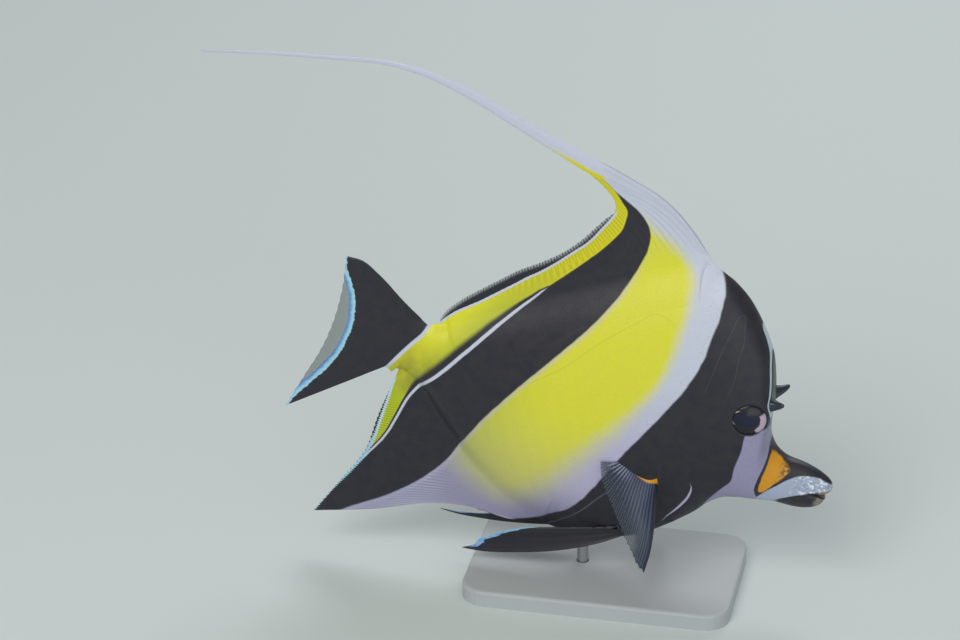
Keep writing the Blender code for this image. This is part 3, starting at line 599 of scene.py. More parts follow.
# Snout and mouth: each column is a cubic arc from the lip to the first body ring, leaving the lip
# outwards and meeting the ring along the body's own slope; rows before it run into the mouth.
def mouthRows(angles):
    side = np.sign(np.sin(angles))
    fold = np.where(angles <= np.pi, angles, 2 * np.pi - angles)
    c = mouth["cornerAngle"]
    upper = fold > c
    a = np.where(upper, (fold - c) / (np.pi - c), (c - fold) / c)
    tipBack = np.where(upper, mouth["upperTip"][0], mouth["lowerTip"][0])
    tipUp = np.where(upper, mouth["upperTip"][1], mouth["lowerTip"][1])
    lipBack = mouth["corner"][0] + (tipBack - mouth["corner"][0]) * (1 - (1 - a) ** 1.7)
    lipUp = mouth["corner"][2] + (tipUp - mouth["corner"][2]) * a ** 1.1
    lipSide = side * mouth["corner"][1] * np.maximum(1 - a ** 2.4, 0) ** mouth["round"]
    lip = np.stack((lipBack, lipSide, lipUp), axis=-1)
    t = np.full_like(angles, stationKnots[body["mouthEnd"]])
    ring = bodySurface(t, angles)
    slope = (bodySurface(t + 0.01, angles) - ring)
    slope /= np.linalg.norm(slope, axis=-1, keepdims=True)
    reach = np.linalg.norm(ring - lip, axis=-1, keepdims=True)
    lift = np.where(upper, mouth["liftTop"], -mouth["liftLow"]) * a ** 0.8
    spread = side * (1.2 * (1 - a) + 0.9 * np.sin(np.pi * a))
    leave = np.stack((-0.7 * a + 0.6 * (1 - a), spread, lift), axis=-1)
    p1, p2 = lip + leave, ring - slope * reach * 0.42
    g = np.linspace(0, 1, body["mouthRows"])[:, None, None] ** 1.35
    outer = (lip * (1 - g) ** 3 + 3 * p1 * g * (1 - g) ** 2 + 3 * p2 * g * g * (1 - g) + ring * g ** 3)
    deep = np.array((mouth["deep"][0], 0.0, mouth["deep"][1]))
    h = np.linspace(0.96, 0, body["insideRows"], endpoint=False)[:, None, None]
    inner = lip + (deep - lip) * h ** 1.2
    inner[..., 2] -= (np.where(upper, -0.5, 0.5) * a * np.sin(np.pi * h[..., 0] ** 0.5))
    return inner, outer[:-1]


eye = {
    "back": 35.3, "up": 17.9, "radius": 5.75, "rim": 6.3, "rise": 0.55, "sink": 2.6, "depth": 1.7,
    "cornea": 0.25, "corneaRadius": 3.6, "bowl": 1.6,
    "leanOver": 5.0, "leanShare": 0.8,       # the skin's slope is taken this far each side, and used in part
    "pupilPlace": (1.2, 0.3), "pupilHalf": (4.4, 3.0), "pupilTurn": -14.0,
    "rings": 60, "sides": 96,
}


relief = {
    "rim": 0.10, "rimWidth": 0.8, "socketFrom": 4.9, "socketTo": 5.75,
    "coverStep": 0.42, "coverFall": 6.0, "arc": 0.22, "arcWidth": 0.8,
    "nostril": (28.3, 13.6), "nostrilDepth": 0.5, "nostrilRadius": 0.55,
    "lips": 0.3, "lipPlace": 0.035, "lipWidth": 0.03, "muscle": 0.10, "muscleWaves": 0.9,
}


# Skin relief in millimetres along the normal: bell curves for the orbital rim, the gill arc, the
# nostril and the lips, smooth steps for the socket and the gill cover, and a low sine for muscle.
def skinRelief(points, fields, rowShare):
    back, side, up = points[..., 0], points[..., 1], points[..., 2]
    onSide = smoothStep(1.5, 4.0, np.abs(side))
    r = np.hypot(back - eye["back"], up - eye["up"])
    rim = relief["rim"] * np.exp(-((r - eye["rim"]) / relief["rimWidth"]) ** 2)
    socket = -eye["sink"] * (1 - smoothStep(relief["socketFrom"], relief["socketTo"], r))
    cover = fields["gillCover"]
    step = relief["coverStep"] * smoothStep(-0.3, 0.5, cover) * fields["gillCoverEnd"]
    step = step * np.exp(-np.maximum(cover, 0) / relief["coverFall"])
    arc = -relief["arc"] * np.exp(-(fields["gillArc"] / relief["arcWidth"]) ** 2)
    arc = arc * (fields["gillArcHalf"] > 0.2)
    fromNostril = np.hypot(back - relief["nostril"][0], up - relief["nostril"][1])
    pit = -relief["nostrilDepth"] * np.exp(-(fromNostril / relief["nostrilRadius"]) ** 2)
    lips = relief["lips"] * np.exp(-((rowShare - relief["lipPlace"]) / relief["lipWidth"]) ** 2)
    waves = np.sin(back * relief["muscleWaves"] + 0.5 * np.abs(up - 5))
    muscle = relief["muscle"] * waves * smoothStep(75, 95, back) * (1 - smoothStep(140, 150, back))
    return (rim + socket + step + arc + pit + muscle) * onSide + lips


# The whole skin, from inside the mouth over head and trunk to the tail root, as one closed surface.
def buildSkin(paint):
    tau = np.linspace(0, 2 * np.pi, body["columns"], endpoint=False)
    angles = tau + 0.25 * np.sin(2 * tau)
    inner, snout = mouthRows(angles)
    last = len(body["stations"]) - 1
    count = int((last - body["mouthEnd"]) * body["rowsPerStation"]) + 1
    stations = np.linspace(body["mouthEnd"], last, count)
    t = np.interp(stations, np.arange(last + 1), stationKnots)
    rings = bodySurface(t[:, None] + 0 * angles[None, :], angles[None, :] + 0 * t[:, None])
    moved, narrowed = np.array(body["wedge"]).T[:, :, None, None]
    shift = np.array((tailward[0], 0.0, tailward[1]))
    narrowing = np.concatenate((1 + 0 * narrowed, narrowed, 1 + 0 * narrowed), axis=2)
    closing = rings[-1] * narrowing + moved * shift
    grid = np.concatenate((inner, snout, rings, closing))
    normals = gridNormals(grid)
    outward = np.sign((normals * (grid - grid.mean(axis=1, keepdims=True))).sum(axis=-1)[200].mean())
    normals *= outward
    fields = markFields(grid)
    fields["gillCover"], along = besideCurve(grid[..., [0, 2]], Curve(marks["gillCover"]))
    fields["gillCoverEnd"] = smoothStep(0.0, 0.2, along) * (1 - smoothStep(0.8, 1.0, along))
    rowShare = np.zeros(len(grid))
    rowShare[len(inner):] = np.linspace(0, 1, len(grid) - len(inner))
    rowShare = (rowShare * 8)[:, None] + 0 * angles[None, :]
    lifted = skinRelief(grid, fields, rowShare)
    lifted[:len(inner)] = 0
    grid = grid + normals * lifted[..., None]
    r = np.hypot(grid[..., 0] - eye["back"], grid[..., 2] - eye["up"])
    # Where the socket under the eyeball is painted black as shade.
    fields["socket"] = (1 - smoothStep(5.6, 6.2, r)) * smoothStep(2, 4, np.abs(grid[..., 1]))
    inside = np.zeros(grid.shape[:2])
    inside[:len(inner)] = 1.0
    fields["mouthInside"] = inside
    rows, columns = grid.shape[:2]
    ends = np.array((inner[0].mean(axis=0), closing[-1].mean(axis=0)))
    uv = shellUv(columns, np.arange(rows) / rows)
    return makePiece("skin", *closedShell(grid, ends), endedFields(fields), paint, uv)


print("curves and helpers")
skin = buildSkin(skinFinish())
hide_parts("head", "lower_jaw", "trunk", "tail_peduncle")
print("skin", len(skin.data.polygons))

# Fins in the middle plane (back, up): margin from the front ray's tip to the last one's, front edge,
# body stations that the root runs between with a shift of their knots, rays, mesh fineness, bow of the
# rays behind the front edge, notch between rays, and how far out the rays start to stand up.
fins = {
    "dorsal": {
        "margin": [(115.0, 81.0), (107.8, 77.4), (103.7, 73.9), (102.8, 71.1), (104.9, 67.3), (106.7, 63.9),
                   (110.9, 55.8), (116.0, 48.7), (121.6, 42.8), (127.4, 37.5), (132.9, 31.2), (138.5, 24.8),
                   (144.0, 18.1), (148.0, 11.4), (148.7, 8.6)],
        "crest": (113.8, 86.9),    # tip of the first ray, ahead of the margin
        "rootStations": (15, 22), "rootShift": (-0.01, 0.004),
        "leading": [(67.8, 67.1), (75.8, 73.9), (83.2, 78.8), (90.5, 81.9), (99.5, 84.0), (113.8, 86.9)],
        "rays": 42, "perRay": 7, "rows": 84, "bow": 5.0, "notch": 0.012, "bare": 1.0},
    "anal": {
        "margin": [(172.0, -83.5), (165.7, -67.0), (160.4, -52.0), (159.6, -36.7), (157.4, -16.4)],
        "rootStations": (18, 23), "rootShift": (-0.002, 0.004),
        "leading": [(91.0, -55.9), (104.3, -58.3), (118.3, -59.0), (131.0, -63.0), (150.6, -73.8),
                    (172.0, -83.5)],
        "rays": 35, "perRay": 7, "rows": 76, "bow": 5.0, "notch": 0.012, "bare": 7.0},
    "caudal": {
        "margin": [(186.8, 19.5), (185.0, 6.7), (184.6, -5.0), (186.0, -18.6), (189.0, -31.2),
                   (192.5, -45.8)],
        "leading": [(152.9, 4.9), (162.3, 9.8), (173.8, 16.8), (181.0, 19.9), (186.8, 19.5)],
        "rays": 17, "perRay": 12, "rows": 76, "bow": 5.0, "notch": 0.008, "bare": 4.0},
    "membrane": 0.20, "ray": 0.15, "wave": 0.35,
    "deep": 20.0, "underRows": 38,     # how far the fins run down inside the flesh, and in how many rows
    "swell": 0.90, "sinking": 1.40,    # added half thickness at the ridge, and what it loses at full depth
    "swellFall": 6.0, "swellEdge": 8.0,
    "tailFlesh": 0.65, "tailFrom": 4.4, "tailFall": 3.4, "tailLimit": 2.2,
    "endShare": 0.06, "endDrop": 1.3, "endReach": 4.0,    # flesh is thinner at the two ends of a root
    "frontRay": 0.35, "thinRim": 0.75, "thinnest": 0.04,
}


# Ray crest: 1 on a ray and 0 between two, as a narrow power of a cosine; rays part in two outwards.
def rayCrest(u, v, rays):
    single = np.abs(np.cos(np.pi * u * rays)) ** 3
    double = np.abs(np.cos(2 * np.pi * u * rays)) ** 3
    parted = smoothStep(0.45, 0.8, v)
    return single * (1 - parted) + double * parted * 0.8


noTriangles = np.zeros((0, 3), int)


# Thin closed plate: a middle surface moved by its half thickness both ways and joined round the rim.
def plate(middle, half):
    normals = gridNormals(middle, closed=False)
    front, rear = middle + normals * half[..., None], middle - normals * half[..., None]
    rows, columns = middle.shape[:2]
    count = rows * columns
    quads = gridFaces(rows, columns, False)
    index = np.arange(count).reshape(rows, columns)
    rim = np.concatenate((index[0, :-1], index[:-1, -1], index[-1, :0:-1], index[:0:-1, 0]))
    ahead = np.roll(rim, -1)
    walls = np.stack((rim, rim + count, ahead + count, ahead), axis=1)
    points = np.concatenate((front.reshape(-1, 3), rear.reshape(-1, 3)))
    allQuads = np.concatenate((quads, quads[:, ::-1] + count, walls))
    if not facesOut(points, allQuads, noTriangles):
        allQuads = allQuads[:, ::-1]
    return points, allQuads


# Fields and UV map of a plate: both faces carry the same fields, and each has half of the map.
def plateData(fields, u, v):
    doubled = {key: np.tile(np.asarray(values).ravel(), 2) for key, values in fields.items()}
    uv = np.stack((u.ravel(), v.ravel()), axis=1)
    return doubled, np.concatenate((uv, uv + np.array((0.0, 0.5))))


# Point on the back or belly line at t, moved into the body by the depth along the line's normal.
def ridgePoint(t, onBack, depth):
    columns = slice(0, 2) if onBack else slice(2, 4)
    here = bodyCurve.at(t)[..., columns]
    later, earlier = bodyCurve.at(np.minimum(t + 0.002, 1)), bodyCurve.at(np.maximum(t - 0.002, 0))
    slope = later[..., columns] - earlier[..., columns]
    slope /= np.linalg.norm(slope, axis=-1, keepdims=True)
    normal = np.stack((-slope[..., 1], slope[..., 0]), axis=-1)
    return here - depth * (normal if onBack else -normal)


# Root of the dorsal or anal fin: the stretch of the ridge between two stations' knots.
def ridgeRoot(onBack, spec):
    first, last = (stationKnots[k] + shift for k, shift in zip(spec["rootStations"], spec["rootShift"]))
    return lambda u, depth: ridgePoint(first + (last - first) * u, onBack, depth)


# Root of the tail fin: the straight line across the last body station.
def tailRoot(u, depth):
    return tailTop * (1 - u)[..., None] + tailLow * u[..., None] - depth * tailward


# Root, margin and bow of a fin give its middle surface: straight rays from root to margin, bent like
# the leading edge by a share that falls as (1 - u) to the fifth power.
def spreadFin(root, margin, leading, u, v, bow, dims):
    lead = leading.at(v)[..., :dims]
    chord = leading.at(0.0)[:dims] * (1 - v)[..., None] + leading.at(1.0)[:dims] * v[..., None]
    bent = (lead - chord) * ((1 - u) ** bow)[..., None]
    return root * (1 - v)[..., None] + margin * v[..., None] + bent


# Grid of u across the rays and v along them, with rays reaching a little beyond the membrane.
def finGrid(rays, perRay, rows, notch):
    u = np.linspace(0, 1, rays * perRay + 1)[None, :] + np.zeros((rows, 1))
    v = np.linspace(0, 1, rows)[:, None] + 0 * u
    tip = 1 - notch * (1 - np.abs(np.cos(np.pi * u * rays)) ** 2)
    return u, v, v * tip


# Half thickness of a median fin's flesh: the skin's own half width plus a swell that falls as
# exp(-d / 6) outside the ridge and turns to less than the skin's at full depth, so that the two surfaces
# cross at a very low angle. On the tail it is an oval share of a fall by exp(-d / 3.4), held below the
# peduncle's width.
def fleshOf(flat, outward, u, toEdge, onTail):
    if onTail:
        fall = fins["tailFlesh"] * np.exp(-(outward - fins["tailFrom"]) / fins["tailFall"])
        return np.sqrt(np.clip(4 * u * (1 - u), 0, 1)) / (1 / fall + 1 / fins["tailLimit"])
    swell = fins["swell"] * np.exp(-np.maximum(outward, 0) / fins["swellFall"])
    swell = swell * smoothStep(0.0, fins["swellEdge"], toEdge)
    sinking = fins["sinking"] * smoothStep(0, fins["deep"], -outward)
    return skinHalf(flat[..., 0], flat[..., 1]) + swell - sinking


# A fin in the middle plane: rows inside the flesh, then rays from the ridge to the margin, with ridges
# on both faces and a low wave towards the margin.
def buildMedianFin(name, spec, root, paint, replaced, edgeName):
    rays, onTail = spec["rays"], replaced == "caudal_fin"
    u, v, reach = finGrid(rays, spec["perRay"], spec["rows"], spec["notch"])
    ridge = root(u, 0.0)
    leading = Curve([tuple(ridge[0, 0])] + spec["leading"][1:])
    margin = Curve(spec["margin"])
    first = 1.0 / rays if "crest" in spec else 0.0
    rim = margin.at(np.clip((u - first) / (1 - first), 0, 1))
    if first:
        share = np.clip(u / first, 0, 1)[..., None]
        onCrest = np.array(spec["crest"]) * (1 - share) + margin.at(0.0) * share
        rim = np.where(u[..., None] < first, onCrest, rim)
    flat = spreadFin(ridge, rim, leading, u, reach, spec["bow"], 2)
    deep = 3.0 if onTail else fins["deep"]
    under = deep * np.linspace(1, 0, fins["underRows"], endpoint=False)[:, None, None]
    normal = ridge[0] - root(u[0], 1.0)
    outward = ((flat - ridge) * normal).sum(axis=-1)
    flat = np.concatenate((root(u[:1] + 0 * under[..., 0], under), flat))
    outward = np.concatenate((-under[..., 0] + 0 * u[:1], outward))
    above = np.zeros((fins["underRows"], 1))
    u, v = np.concatenate((u[:1] + above, u)), np.concatenate((0 * u[:1] + above, v))
    wave = fins["wave"] * np.sin(u * 9.0 + 1.0) * smoothStep(0.1, 1.0, v) * smoothStep(0.0, 0.15, u)
    middle = np.stack((flat[..., 0], wave, flat[..., 1]), axis=-1)
    grown = smoothStep(spec["bare"], spec["bare"] + 9.0, outward)
    crest = rayCrest(u, v, rays) * grown
    toEdge = np.linalg.norm(rim[0] - ridge[0], axis=-1) * (1 - v)
    flesh = fleshOf(flat, outward, u, toEdge, onTail)
    half = fins["membrane"] + flesh + fins["ray"] * crest * (1 - 0.45 * v)
    half = half * (1 - fins["thinRim"] * smoothStep(0.985, 1.0, v))
    ends = smoothStep(0.0, fins["endShare"], u) * (1 - smoothStep(1 - fins["endShare"], 1.0, u))
    half = half - fins["endDrop"] * (1 - ends) * (1 - smoothStep(0.0, fins["endReach"], outward))
    stout = fins["frontRay"] * np.exp(-(u * rays / 0.8) ** 2) * (1 - 0.6 * v) * smoothStep(0.0, 0.1, v)
    points, quads = plate(middle, np.maximum(half + stout, fins["thinnest"]))
    fields = markFields(middle)
    fields.update(rayCrest=crest, grown=grown, toEdge=toEdge)
    fields[edgeName] = besideCurve(middle[..., [0, 2]], Curve(edgeCurves[edgeName]))[0]
    doubled, uv = plateData(fields, u, np.linspace(0, 0.49, len(u))[:, None] + 0 * u)
    piece = makePiece(name, points, quads, noTriangles, doubled, paint, uv)
    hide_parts(replaced)
    print(name, len(piece.data.polygons))


# Edge curves of the fins' pale lines: on the dorsal fin, the anal fin and the tail.
edgeCurves = {
    "dorsalEdge": [(101.4, 74.0), (102.0, 71.5), (102.7, 68.6), (103.9, 65.4), (105.2, 62.4), (106.8, 58.6),
                   (108.3, 55.8), (111.1, 51.9), (113.7, 48.2), (116.0, 45.0), (118.4, 41.9), (121.1, 38.7),
                   (123.9, 35.8), (127.2, 31.8), (130.5, 28.0), (133.8, 24.2), (137.2, 20.4), (140.7, 16.9),
                   (144.1, 13.4), (146.8, 9.6), (147.8, 7.8)],
    "analEdge": [(157.2, -14.0), (158.0, -22.1), (158.4, -30.8), (158.7, -38.7), (158.9, -46.3),
                 (160.2, -53.6), (163.0, -61.0), (166.6, -69.0), (169.6, -76.0), (171.6, -82.0)],
    "tailEdge": [(187.6, 22.0), (186.6, 15.8), (183.6, 10.4), (181.0, 6.0), (179.4, 0.4), (178.7, -5.7),
                 (179.2, -12.0), (180.4, -18.3), (183.0, -25.0), (186.4, -31.7), (189.9, -38.0),
                 (193.6, -47.0)],
}


# Gloss and ridges that all fins share; alpha is below 1 where a fin is clear. Near the
# body the relief is the skin's.
def closeFin(paint, color, alpha=None):
    crest, grown = paint.field("rayCrest"), paint.field("grown")
    fine = paint.noise(gloss["grain"], 2.0)
    height = scaleHeight(paint, fine) * (1.0 - grown) + (crest * 0.6 + fine * 0.3) * grown
    satinCoat(paint, color, fine, height)
    if alpha is not None:
        paint.put("Alpha", alpha)
    return paint.material


# Dorsal fin: the flank's bands run on over it; a white line follows the rear margin, with dark rays
# in clear skin outside it; the yellow stripe has thin dark lines between its rays, the front stays white.
def dorsalFinish():
    paint = Finish("dorsal_fin_skin")
    color, dark = flankColor(paint)[:2]
    crest, grown = paint.field("rayCrest"), paint.field("grown")
    up = paint.field("up")
    gap = (1.0 - crest) ** 4.0 * grown
    pale = paint.rise(paint.field("rearBandFront"), 0.0, -1.5)
    color = paint.mix(gap * pale * 0.22, color, fishColors["shadeAndMembrane"])
    front = paint.rise(paint.field("frontBand"), 0.4, -0.4)
    color = paint.mix(front * paint.rise(up, 69.0, 67.0), color, dark)
    edge = paint.field("dorsalEdge") + (crest - 0.5) * 0.2
    inYellow = paint.rise(paint.field("rearBandBack"), 0.3, 0.9) * paint.rise(up, 16.0, 26.0)
    color = paint.mix(inYellow * gap * 0.5, color, fishColors["olive"])
    starts = paint.rise(up, 72.0, 69.5)
    color = paint.mix(paint.rise(abs(edge), 0.5, 0.32) * starts, color, fishColors["white"])
    outside = paint.rise(edge, 0.32, 0.5) * starts
    color = paint.mix(outside, color, fishColors["black"])
    clear = paint.rise(paint.field("toEdge"), 2.4, 0.2) * (1.0 - crest * 0.75) * outside
    return closeFin(paint, color, 1.0 - clear * 0.85)


# Anal fin: black, with a pale front edge in streaks near its tip, a yellow rear strip between pale
# lines, and a serrated blue margin.
def analFinish():
    paint = Finish("anal_fin_skin")
    color, dark = flankColor(paint)[:2]
    crest, grown = paint.field("rayCrest"), paint.field("grown")
    back, up = paint.field("back"), paint.field("up")
    pale = paint.rise(paint.field("rearBandFront"), 0.0, -1.0)
    color = paint.mix(crest * pale * paint.rise(back, 118.0, 145.0) * 0.6, color, fishColors["white"])
    gaps = (1.0 - crest) * pale * paint.rise(back, 132.0, 156.0)
    color = paint.mix(gaps * 0.5, color, fishColors["shadeAndMembrane"])
    lines = paint.field("paleLine") + paint.field("darkLine")
    rearward = paint.rise(paint.field("rearBandBack") - lines, 0.1, 0.5)
    color = paint.mix(rearward * paint.rise(up, -20.0, -28.0), color, tint(184, 200, 8))
    color = paint.mix(rearward * (1.0 - crest) ** 3.0 * grown * 0.6, color, fishColors["olive"])
    front = paint.rise(paint.field("frontBand"), 0.45, -0.45)
    color = paint.mix(front, color, dark)
    high = paint.rise(up, -54.0, -42.0)
    below = paint.rise(up, -18.0, -21.0)
    edge = paint.field("analEdge") + (crest - 0.5) * 0.9 + high * 0.55
    tone = paint.mix(paint.rise(edge, -0.5, 0.6), fishColors["cyan"], fishColors["blue"])
    tone = paint.mix(high * 0.8, tone, tint(200, 222, 232))
    width = 0.85 - high * 0.35
    color = paint.mix(paint.rise(abs(edge) - width, 0.12, -0.12) * below, color, tone)
    color = paint.mix(paint.rise(edge - width, -0.1, 0.15) * below, color, fishColors["black"])
    return closeFin(paint, color, 1.0 - paint.rise(edge, 1.4, 2.6) * (1.0 - crest) * 0.6)


# Tail fin: black, then a wavy band from pale blue to blue, and clear grey skin with fine dark rays
# outside it.
def tailFinish():
    paint = Finish("tail_fin_skin")
    color = flankColor(paint)[0]
    crest = paint.field("rayCrest")
    wavy = (paint.noise(420.0, 1.0) - 0.5) * 1.6
    edge = paint.field("tailEdge") + (crest - 0.5) * 0.25 + wavy * 0.6
    tone = paint.mix(paint.rise(edge, -0.5, 0.9), fishColors["cyan"], fishColors["blue"])
    color = paint.mix(paint.rise(edge, -1.3, -1.0), color, tone)
    outside = paint.rise(edge, 0.8, 1.1)
    clearSkin = paint.mix((1.0 - crest) ** 3.0 * 0.5, fishColors["clearGrey"], fishColors["strip"])
    color = paint.mix(outside, color, clearSkin)
    return closeFin(paint, color, 1.0 - outside * 0.58)


buildMedianFin("dorsal_fin_soft", fins["dorsal"], ridgeRoot(True, fins["dorsal"]), dorsalFinish(),
               "dorsal_fin", "dorsalEdge")
buildMedianFin("anal_fin_soft", fins["anal"], ridgeRoot(False, fins["anal"]), analFinish(),
               "anal_fin", "analEdge")
buildMedianFin("tail_fin_soft", fins["caudal"], tailRoot, tailFinish(),
               "caudal_fin", "tailEdge")

filament = {
    # back, up, height and thickness
    "line": [(96.0, 80.6, 1.0, 0.2), (101.0, 81.6, 2.4, 0.35), (108.0, 82.8, 4.6, 0.8),
             (115.4, 84.1, 5.7, 1.1), (127.7, 86.7, 5.0, 1.1), (143.0, 90.1, 4.2, 1.1),
             (162.6, 94.4, 3.4, 1.1), (179.2, 96.0, 2.4, 1.0), (191.8, 95.1, 1.9, 0.9),
             (211.0, 90.0, 1.6, 0.8), (235.0, 82.8, 1.3, 0.7), (255.4, 75.9, 0.8, 0.5)],
    "rings": 420, "sides": 36, "grooves": 5, "groove": 0.10,
}


# Streamer: white, with fine grooves along it tinted lavender as painted shade, and yellow along the lower
# edge near the fin.
def filamentFinish():
    paint = Finish("streamer_skin")
    grain = paint.noise(1500.0, 2.0)
    streak = paint.field("streak")
    # Painted shade: the grooves are tinted lavender.
    color = paint.mix(streak * 0.35, fishColors["white"], fishColors["lavender"])
    lower = paint.rise(paint.field("lower"), 0.62, 0.82) * paint.rise(paint.field("back"), 134.0, 120.0)
    lower = lower * paint.rise(paint.field("back"), 105.0, 111.0)
    color = paint.mix(lower, color, fishColors["deepYellow"])
    paint.put("Base Color", color)
    paint.put("Roughness", grain * 0.15 + 0.36)
    paint.put("Coat Weight", 0.2)
    paint.put("Coat Roughness", 0.3)
    paint.put("Normal", paint.bump(streak * -0.6 + grain * 0.3, 0.00012, 0.5))
    return paint.material


# Streamer of the dorsal fin: an oval section along a curve in the middle plane, closed at both ends.
def buildFilament(paint):
    curve = Curve(filament["line"], measured=2)
    t = np.linspace(0, 1, filament["rings"])
    row = curve.at(t)
    slope = np.gradient(row[:, :2], axis=0)
    slope /= np.linalg.norm(slope, axis=1, keepdims=True)
    a = np.linspace(0, 2 * np.pi, filament["sides"], endpoint=False)
    lift = row[:, 2][:, None] / 2 * np.cos(a)[None, :]
    streak = np.abs(np.cos(filament["grooves"] * np.cos(a) * np.pi / 2))[None, :] ** 4
    groove = 1 - filament["groove"] * streak
    side = row[:, 3][:, None] / 2 * np.sign(np.sin(a)) * np.abs(np.sin(a)) ** 0.7 * groove
    blunt = (smoothStep(-0.004, 0.012, 1 - t) * smoothStep(-0.004, 0.02, t))[:, None]
    back = row[:, 0][:, None] - lift * slope[:, 1][:, None] * blunt
    up = row[:, 1][:, None] + lift * slope[:, 0][:, None] * blunt
    grid = np.stack((back, side * blunt, up), axis=-1)
    ends = np.array((grid[0].mean(axis=0), grid[-1].mean(axis=0)))
    lower = 0.5 - 0.5 * np.cos(a)[None, :] + 0 * t[:, None]
    fields = endedFields({"streak": streak + 0 * t[:, None], "lower": lower, "back": grid[..., 0]})
    return makePiece("dorsal_streamer", *closedShell(grid, ends), fields, paint, shellUv(len(a), t))


streamer = buildFilament(filamentFinish())
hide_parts("dorsal_filament_1", "dorsal_filament_2", "dorsal_filament_3")
print("streamer", len(streamer.data.polygons))

# Paired fins of the right side: root on the skin (back, up), leading edge and margin (back, side, up).
pairedFins = {
    "pectoral": {"root": [(58.2, -15.6), (60.8, -17.3), (64.0, -17.4), (67.5, -16.6), (71.4, -15.0),
                          (74.0, -14.3)], "proud": -0.4,
                 "leading": [(56.3, -18.0, -20.3), (53.5, -22.0, -29.7), (52.0, -25.0, -36.8),
                             (51.6, -27.2, -44.4)],
                 "margin": [(54.0, -26.6, -43.3), (58.2, -25.0, -39.4), (63.6, -22.5, -34.5),
                            (70.3, -19.0, -27.8), (76.8, -15.6, -20.6), (79.0, -13.8, -15.8)],
                 "rays": 18, "perRay": 9, "rows": 90, "flesh": 0.35, "fleshLength": 3.0},
    "pelvic": {"root": [(60.4, -43.6), (61.6, -42.2), (62.8, -40.8)], "proud": 0.2,
               "leading": [(69.6, -7.0, -51.0), (82.3, -8.0, -59.0), (95.5, -8.4, -65.2),
                           (109.2, -8.4, -70.3), (115.9, -8.0, -71.9)],
               "margin": [(113.9, -8.0, -70.1), (110.6, -8.2, -65.6), (104.6, -8.6, -60.0),
                          (98.3, -8.2, -55.8), (93.0, -7.6, -53.7), (84.0, -6.8, -51.4),
                          (76.0, -6.4, -49.4)],
               "rays": 6, "perRay": 18, "rows": 120, "flesh": 0.5, "fleshLength": 14.0},
    "leftPelvic": {"root": [(60.4, -43.6), (61.6, -42.2), (62.8, -40.8)], "proud": 0.2,
                   "leading": [(70.0, -8.6, -49.9), (82.0, -9.0, -57.0), (95.9, -8.6, -62.5),
                               (106.5, -8.2, -65.6), (113.7, -8.0, -67.2), (122.1, -8.0, -68.8),
                               (128.6, -8.0, -69.3)],
                   "margin": [(123.0, -8.0, -68.1), (114.1, -8.0, -65.3), (104.3, -8.4, -60.6),
                              (98.0, -8.4, -57.4), (88.0, -7.4, -53.6), (76.0, -6.2, -49.2)],
                   "rays": 6, "perRay": 18, "rows": 120, "flesh": 0.5, "fleshLength": 14.0},
}


# A fin of one side: rays from the root on the skin to the margin, bowed like the leading edge, the
# left one mirrored from the right.
def buildPairedFin(name, spec, leftSide, paint, replaced):
    root = np.array([(b, 0.0, h) for b, h in spec["root"]])
    root[:, 1] = -skinHalf(root[:, 0], root[:, 2]) - spec["proud"]
    outlines = [root, np.concatenate((root[:1], spec["leading"])),
                np.concatenate((np.array(spec["leading"])[-1:], spec["margin"]))]
    rootCurve, leading, margin = (Curve(line) for line in outlines)
    rays = spec["rays"]
    u, v, reach = finGrid(rays, spec["perRay"], spec["rows"], 0.02)
    middle = spreadFin(rootCurve.at(u), margin.at(u), leading, u, reach, 5.0, 3)
    length = np.linalg.norm(margin.at(u) - rootCurve.at(u), axis=-1)
    crest = rayCrest(u, v, rays)
    half = fins["membrane"] * (1 - 0.3 * v) + fins["ray"] * crest * smoothStep(0, 0.1, v) * (1 - 0.5 * v)
    half = half + spec["flesh"] * np.exp(-(v * length / spec["fleshLength"]) ** 2)
    half = half + 0.12 * np.exp(-(u * rays / 0.9) ** 2) * (1 - 0.5 * v)
    half = half * (1 - fins["thinRim"] * smoothStep(0.985, 1.0, v))
    if leftSide:
        middle = middle * np.array((1.0, -1.0, 1.0))
    points, quads = plate(middle, half)
    fields = {"rayCrest": crest, "grown": 1 + 0 * v, "along": v, "across": u,
              "fromRoot": v * length, "toMargin": (1 - v) * length}
    doubled, uv = plateData(fields, u, v * 0.49)
    piece = makePiece(name, points, quads, noTriangles, doubled, paint, uv)
    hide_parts(replaced)
    print(name, len(piece.data.polygons))


# Pectoral fin: blue grey rays over dark gaps, a dark front edge, a clear trailing part, and an orange
# patch at the front of its root.
def pectoralFinish():
    paint = Finish("pectoral_fin_skin")
    crest, across, along = (paint.field(n) for n in ("rayCrest", "across", "along"))
    rays = paint.mix(along, tint(60, 74, 112), tint(82, 102, 118))
    color = paint.mix(crest * 0.9, tint(26, 29, 50), rays)
    pale = paint.rise(paint.field("fromRoot"), 5.0, 2.0) * paint.rise(across, 0.4, 0.9)
    color = paint.mix(crest * pale * 0.8, color, tint(166, 172, 196))
    color = paint.mix(paint.rise(across, 0.04, 0.01), color, fishColors["black"])
    patch = paint.rise(paint.field("fromRoot") + across * 4.5, 2.6, 1.9)
    color = paint.mix(patch, color, fishColors["orange"])
    clear = paint.rise(paint.field("toMargin"), 14.0, 1.0) * paint.rise(across, 0.03, 0.25)
    return closeFin(paint, color, 1.0 - clear * (0.72 - crest * 0.35))


